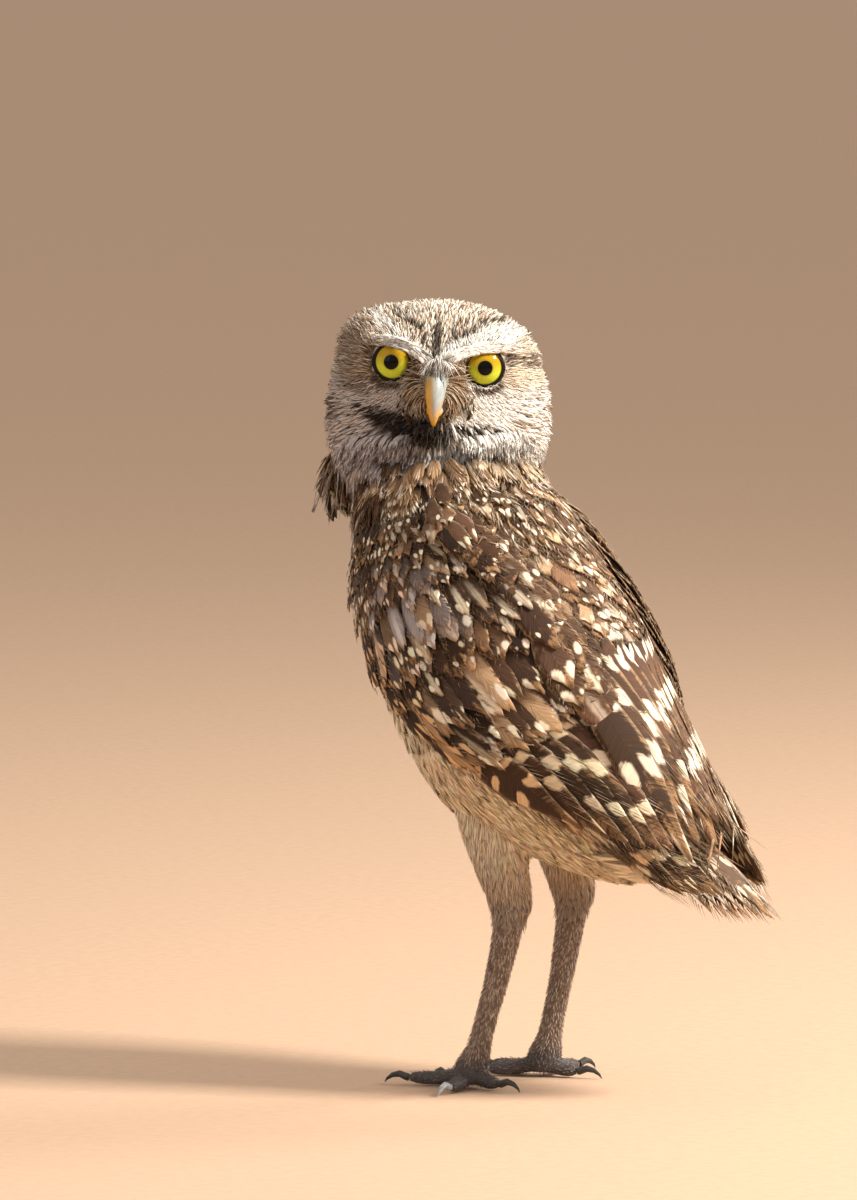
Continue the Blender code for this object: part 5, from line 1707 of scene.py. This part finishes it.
def bill_piece(name, stations, ridge):
    rings, values = [], []
    for u in np.linspace(0, len(stations) - 1, 40):
        y, z, half, high = row_at(stations, u)
        ahead = unit(row_at(stations, u + 0.05)[:2] - row_at(stations, u - 0.05)[:2])
        over = np.array([0.0, ahead[1], -ahead[0]])
        ring = []
        for j in range(36):
            turn = 2 * math.pi * j / 36
            s, c = math.sin(turn), math.cos(turn)
            keel = 1 + ridge * max(c, 0.0) ** 6
            across = math.copysign(abs(s) ** 0.95, s) * half
            dent = 0.0
            if ridge:
                away = (abs(turn - math.pi) / math.pi - 0.62) / 0.12
                dent = 0.55 * math.exp(-(((u - 1.15) / 0.16) ** 2) - away**2)
            ring.append(np.array([across * (1 - dent * 0.25), y, z]) + over * c * high * keel)
            values.append((u / (len(stations) - 1), c, s))
        rings.append(ring)
    rings = np.array(rings)
    made = rings_mesh(name, in_head(rings.reshape(-1, 3)).reshape(rings.shape))
    values += [(0.0, 0.0, 0.0), (1.0, 0.0, 0.0)]
    set_attribute(made.data, "beak", "FLOAT_VECTOR", np.array(values))
    return made


def make_bill():
    def inputs(tree):
        return [("Beak", attribute(tree, "beak")["Vector"])]

    finish = finished("bill_finish", bill_group(), inputs, 0.15, 0.0001, Coat_Weight=0.15)
    for name, node, stations, ridge in (("bill_over", "bill_upper", UPPER_BILL, 0.12),
                                        ("bill_under", "bill_lower", LOWER_BILL, 0.0)):
        made = bill_piece(name, stations, ridge)
        made.data.materials.append(finish)
        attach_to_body(made, "root")
        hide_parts(node)


def attach(piece):
    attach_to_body(piece, "root")


def dress_skin(skin, grain):
    def inputs(tree):
        ground = attribute(tree, "ground")["Color"]
        return [("Place", object_place(tree)), ("Ground", ground), ("Scale", 1100.0)]

    points = corners_of(skin.data) / MM + ORIGIN
    rng = np.random.default_rng(SEED + 1)
    colour = head_markings(to_head(points), rng)[0] * 0.75
    height = points[:, 2]
    body = np.tile(PALE_BELLY, (len(points), 1))
    back = smooth(points[:, 1] + (height - 121.5) * 0.5 - 3.5, -2.0, 8.0)[:, None]
    body = body * (1 - back) + UMBER * 0.7 * back
    legs = smooth(height, 62.0, 50.0)[:, None]
    body = body * (1 - legs) + srgb(134, 116, 104) * legs
    # Darker blue-grey at the feet: partly the toes' own grey, partly painted shade
    feet = smooth(height, 12.0, 7.0)[:, None]
    body = body * (1 - feet) + srgb(80, 73, 72) * feet
    share = smooth(height, 183.0, 188.0)[:, None]
    colour = body * (1 - share) + colour * share
    set_attribute(skin.data, "ground", "FLOAT_COLOR", np.hstack([colour, np.ones((len(points), 1))]))
    skin.data.materials.append(finished("skin_finish", grain, inputs, 0.4, 0.0003))


def make_stage():
    bpy.ops.object.select_all(action="DESELECT")
    bpy.ops.mesh.primitive_circle_add(vertices=96, radius=60.0, fill_type="TRIFAN", location=(0, 0, 0))
    floor = bpy.context.object
    floor.name = "floor"
    made = bpy.data.materials.new("floor_finish")
    made.use_nodes = True
    tree = made.node_tree
    shader = tree.nodes["Principled BSDF"]
    speckle = noise(tree, object_place(tree), 240.0, 3.0, 0.6).ramp(0.2, 0.8)
    tint = blend(tree, speckle, srgb(190, 160, 134), srgb(198, 168, 142))
    tree.links.new(tint.socket, shader.inputs["Base Color"])
    shader.inputs["Roughness"].default_value = 0.9
    floor.data.materials.append(made)


def main():
    aim = set_camera()
    set_lights(aim)
    bpy.ops.object.select_all(action="DESELECT")
    grain = skin_grain()
    make_stage()
    pattern = feather_pattern()
    tan_fringe = srgb(186, 146, 104)
    small = feather_material("small_feather", pattern, 9.0, srgb(240, 230, 214), contrast=0.45, bump=0.15)
    soft = feather_material("soft_feather", pattern, 16.0, srgb(232, 210, 184), contrast=0.25, bump=0.1,
                            glow=0.5)
    downy = feather_material("nape_feather", pattern, 22.0, tan_fringe, contrast=0.8, bump=0.2)
    firm = feather_material("covert_feather", pattern, 34.0, tan_fringe, contrast=0.9)
    flight = feather_material("flight_feather", pattern, 110.0, tan_fringe, 0.05, contrast=0.6, bump=0.2)
    rng = np.random.default_rng(SEED)
    skin = make_skin()
    surface = Surface(skin)
    dress_skin(skin, grain)
    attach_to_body(skin, "root")
    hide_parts(*FLESH)
    for piece in coat_head(surface, rng, small):
        attach(piece)
    attach(face_bristles(surface, rng, small))
    attach(brow_feathers(rng, small))
    for piece in coat_neck(rng, downy, soft):
        attach(piece)
    attach(collar(surface, rng, small))
    attach(breast_tuft(surface, rng, soft))
    attach(coat_breast(rng, soft))
    attach(coat_belly(rng, soft))
    attach(coat_mantle(rng, firm))
    attach(scapulars(rng, firm))
    for piece in rump_feathers(rng, firm, flight):
        attach(piece)
    for side, word in SIDES:
        for piece in wing_feathers(side, word, rng, flight, firm):
            attach(piece)
    attach(tail_feathers(rng, flight))
    for piece in coat_legs(surface, rng, soft, small):
        attach(piece)
    make_eyes()
    make_lids(plain_finish("lid_skin", grain, srgb(22, 18, 17), 2500.0, 0.1, 0.0002, Specular_IOR_Level=0.2))
    make_bill()
    claw, pale_claw = (
        plain_finish(name, grain, colour, 700.0, 0.1, 0.0001, Coat_Weight=0.3)
        for name, colour in (("claw_finish", srgb(44, 40, 38)), ("pale_claw_finish", srgb(150, 156, 160)))
    )
    for name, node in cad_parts.items():
        if name.startswith("claw_"):
            node.data.materials.clear()
            node.data.materials.append(pale_claw if name == "claw_outer_left" else claw)


main()
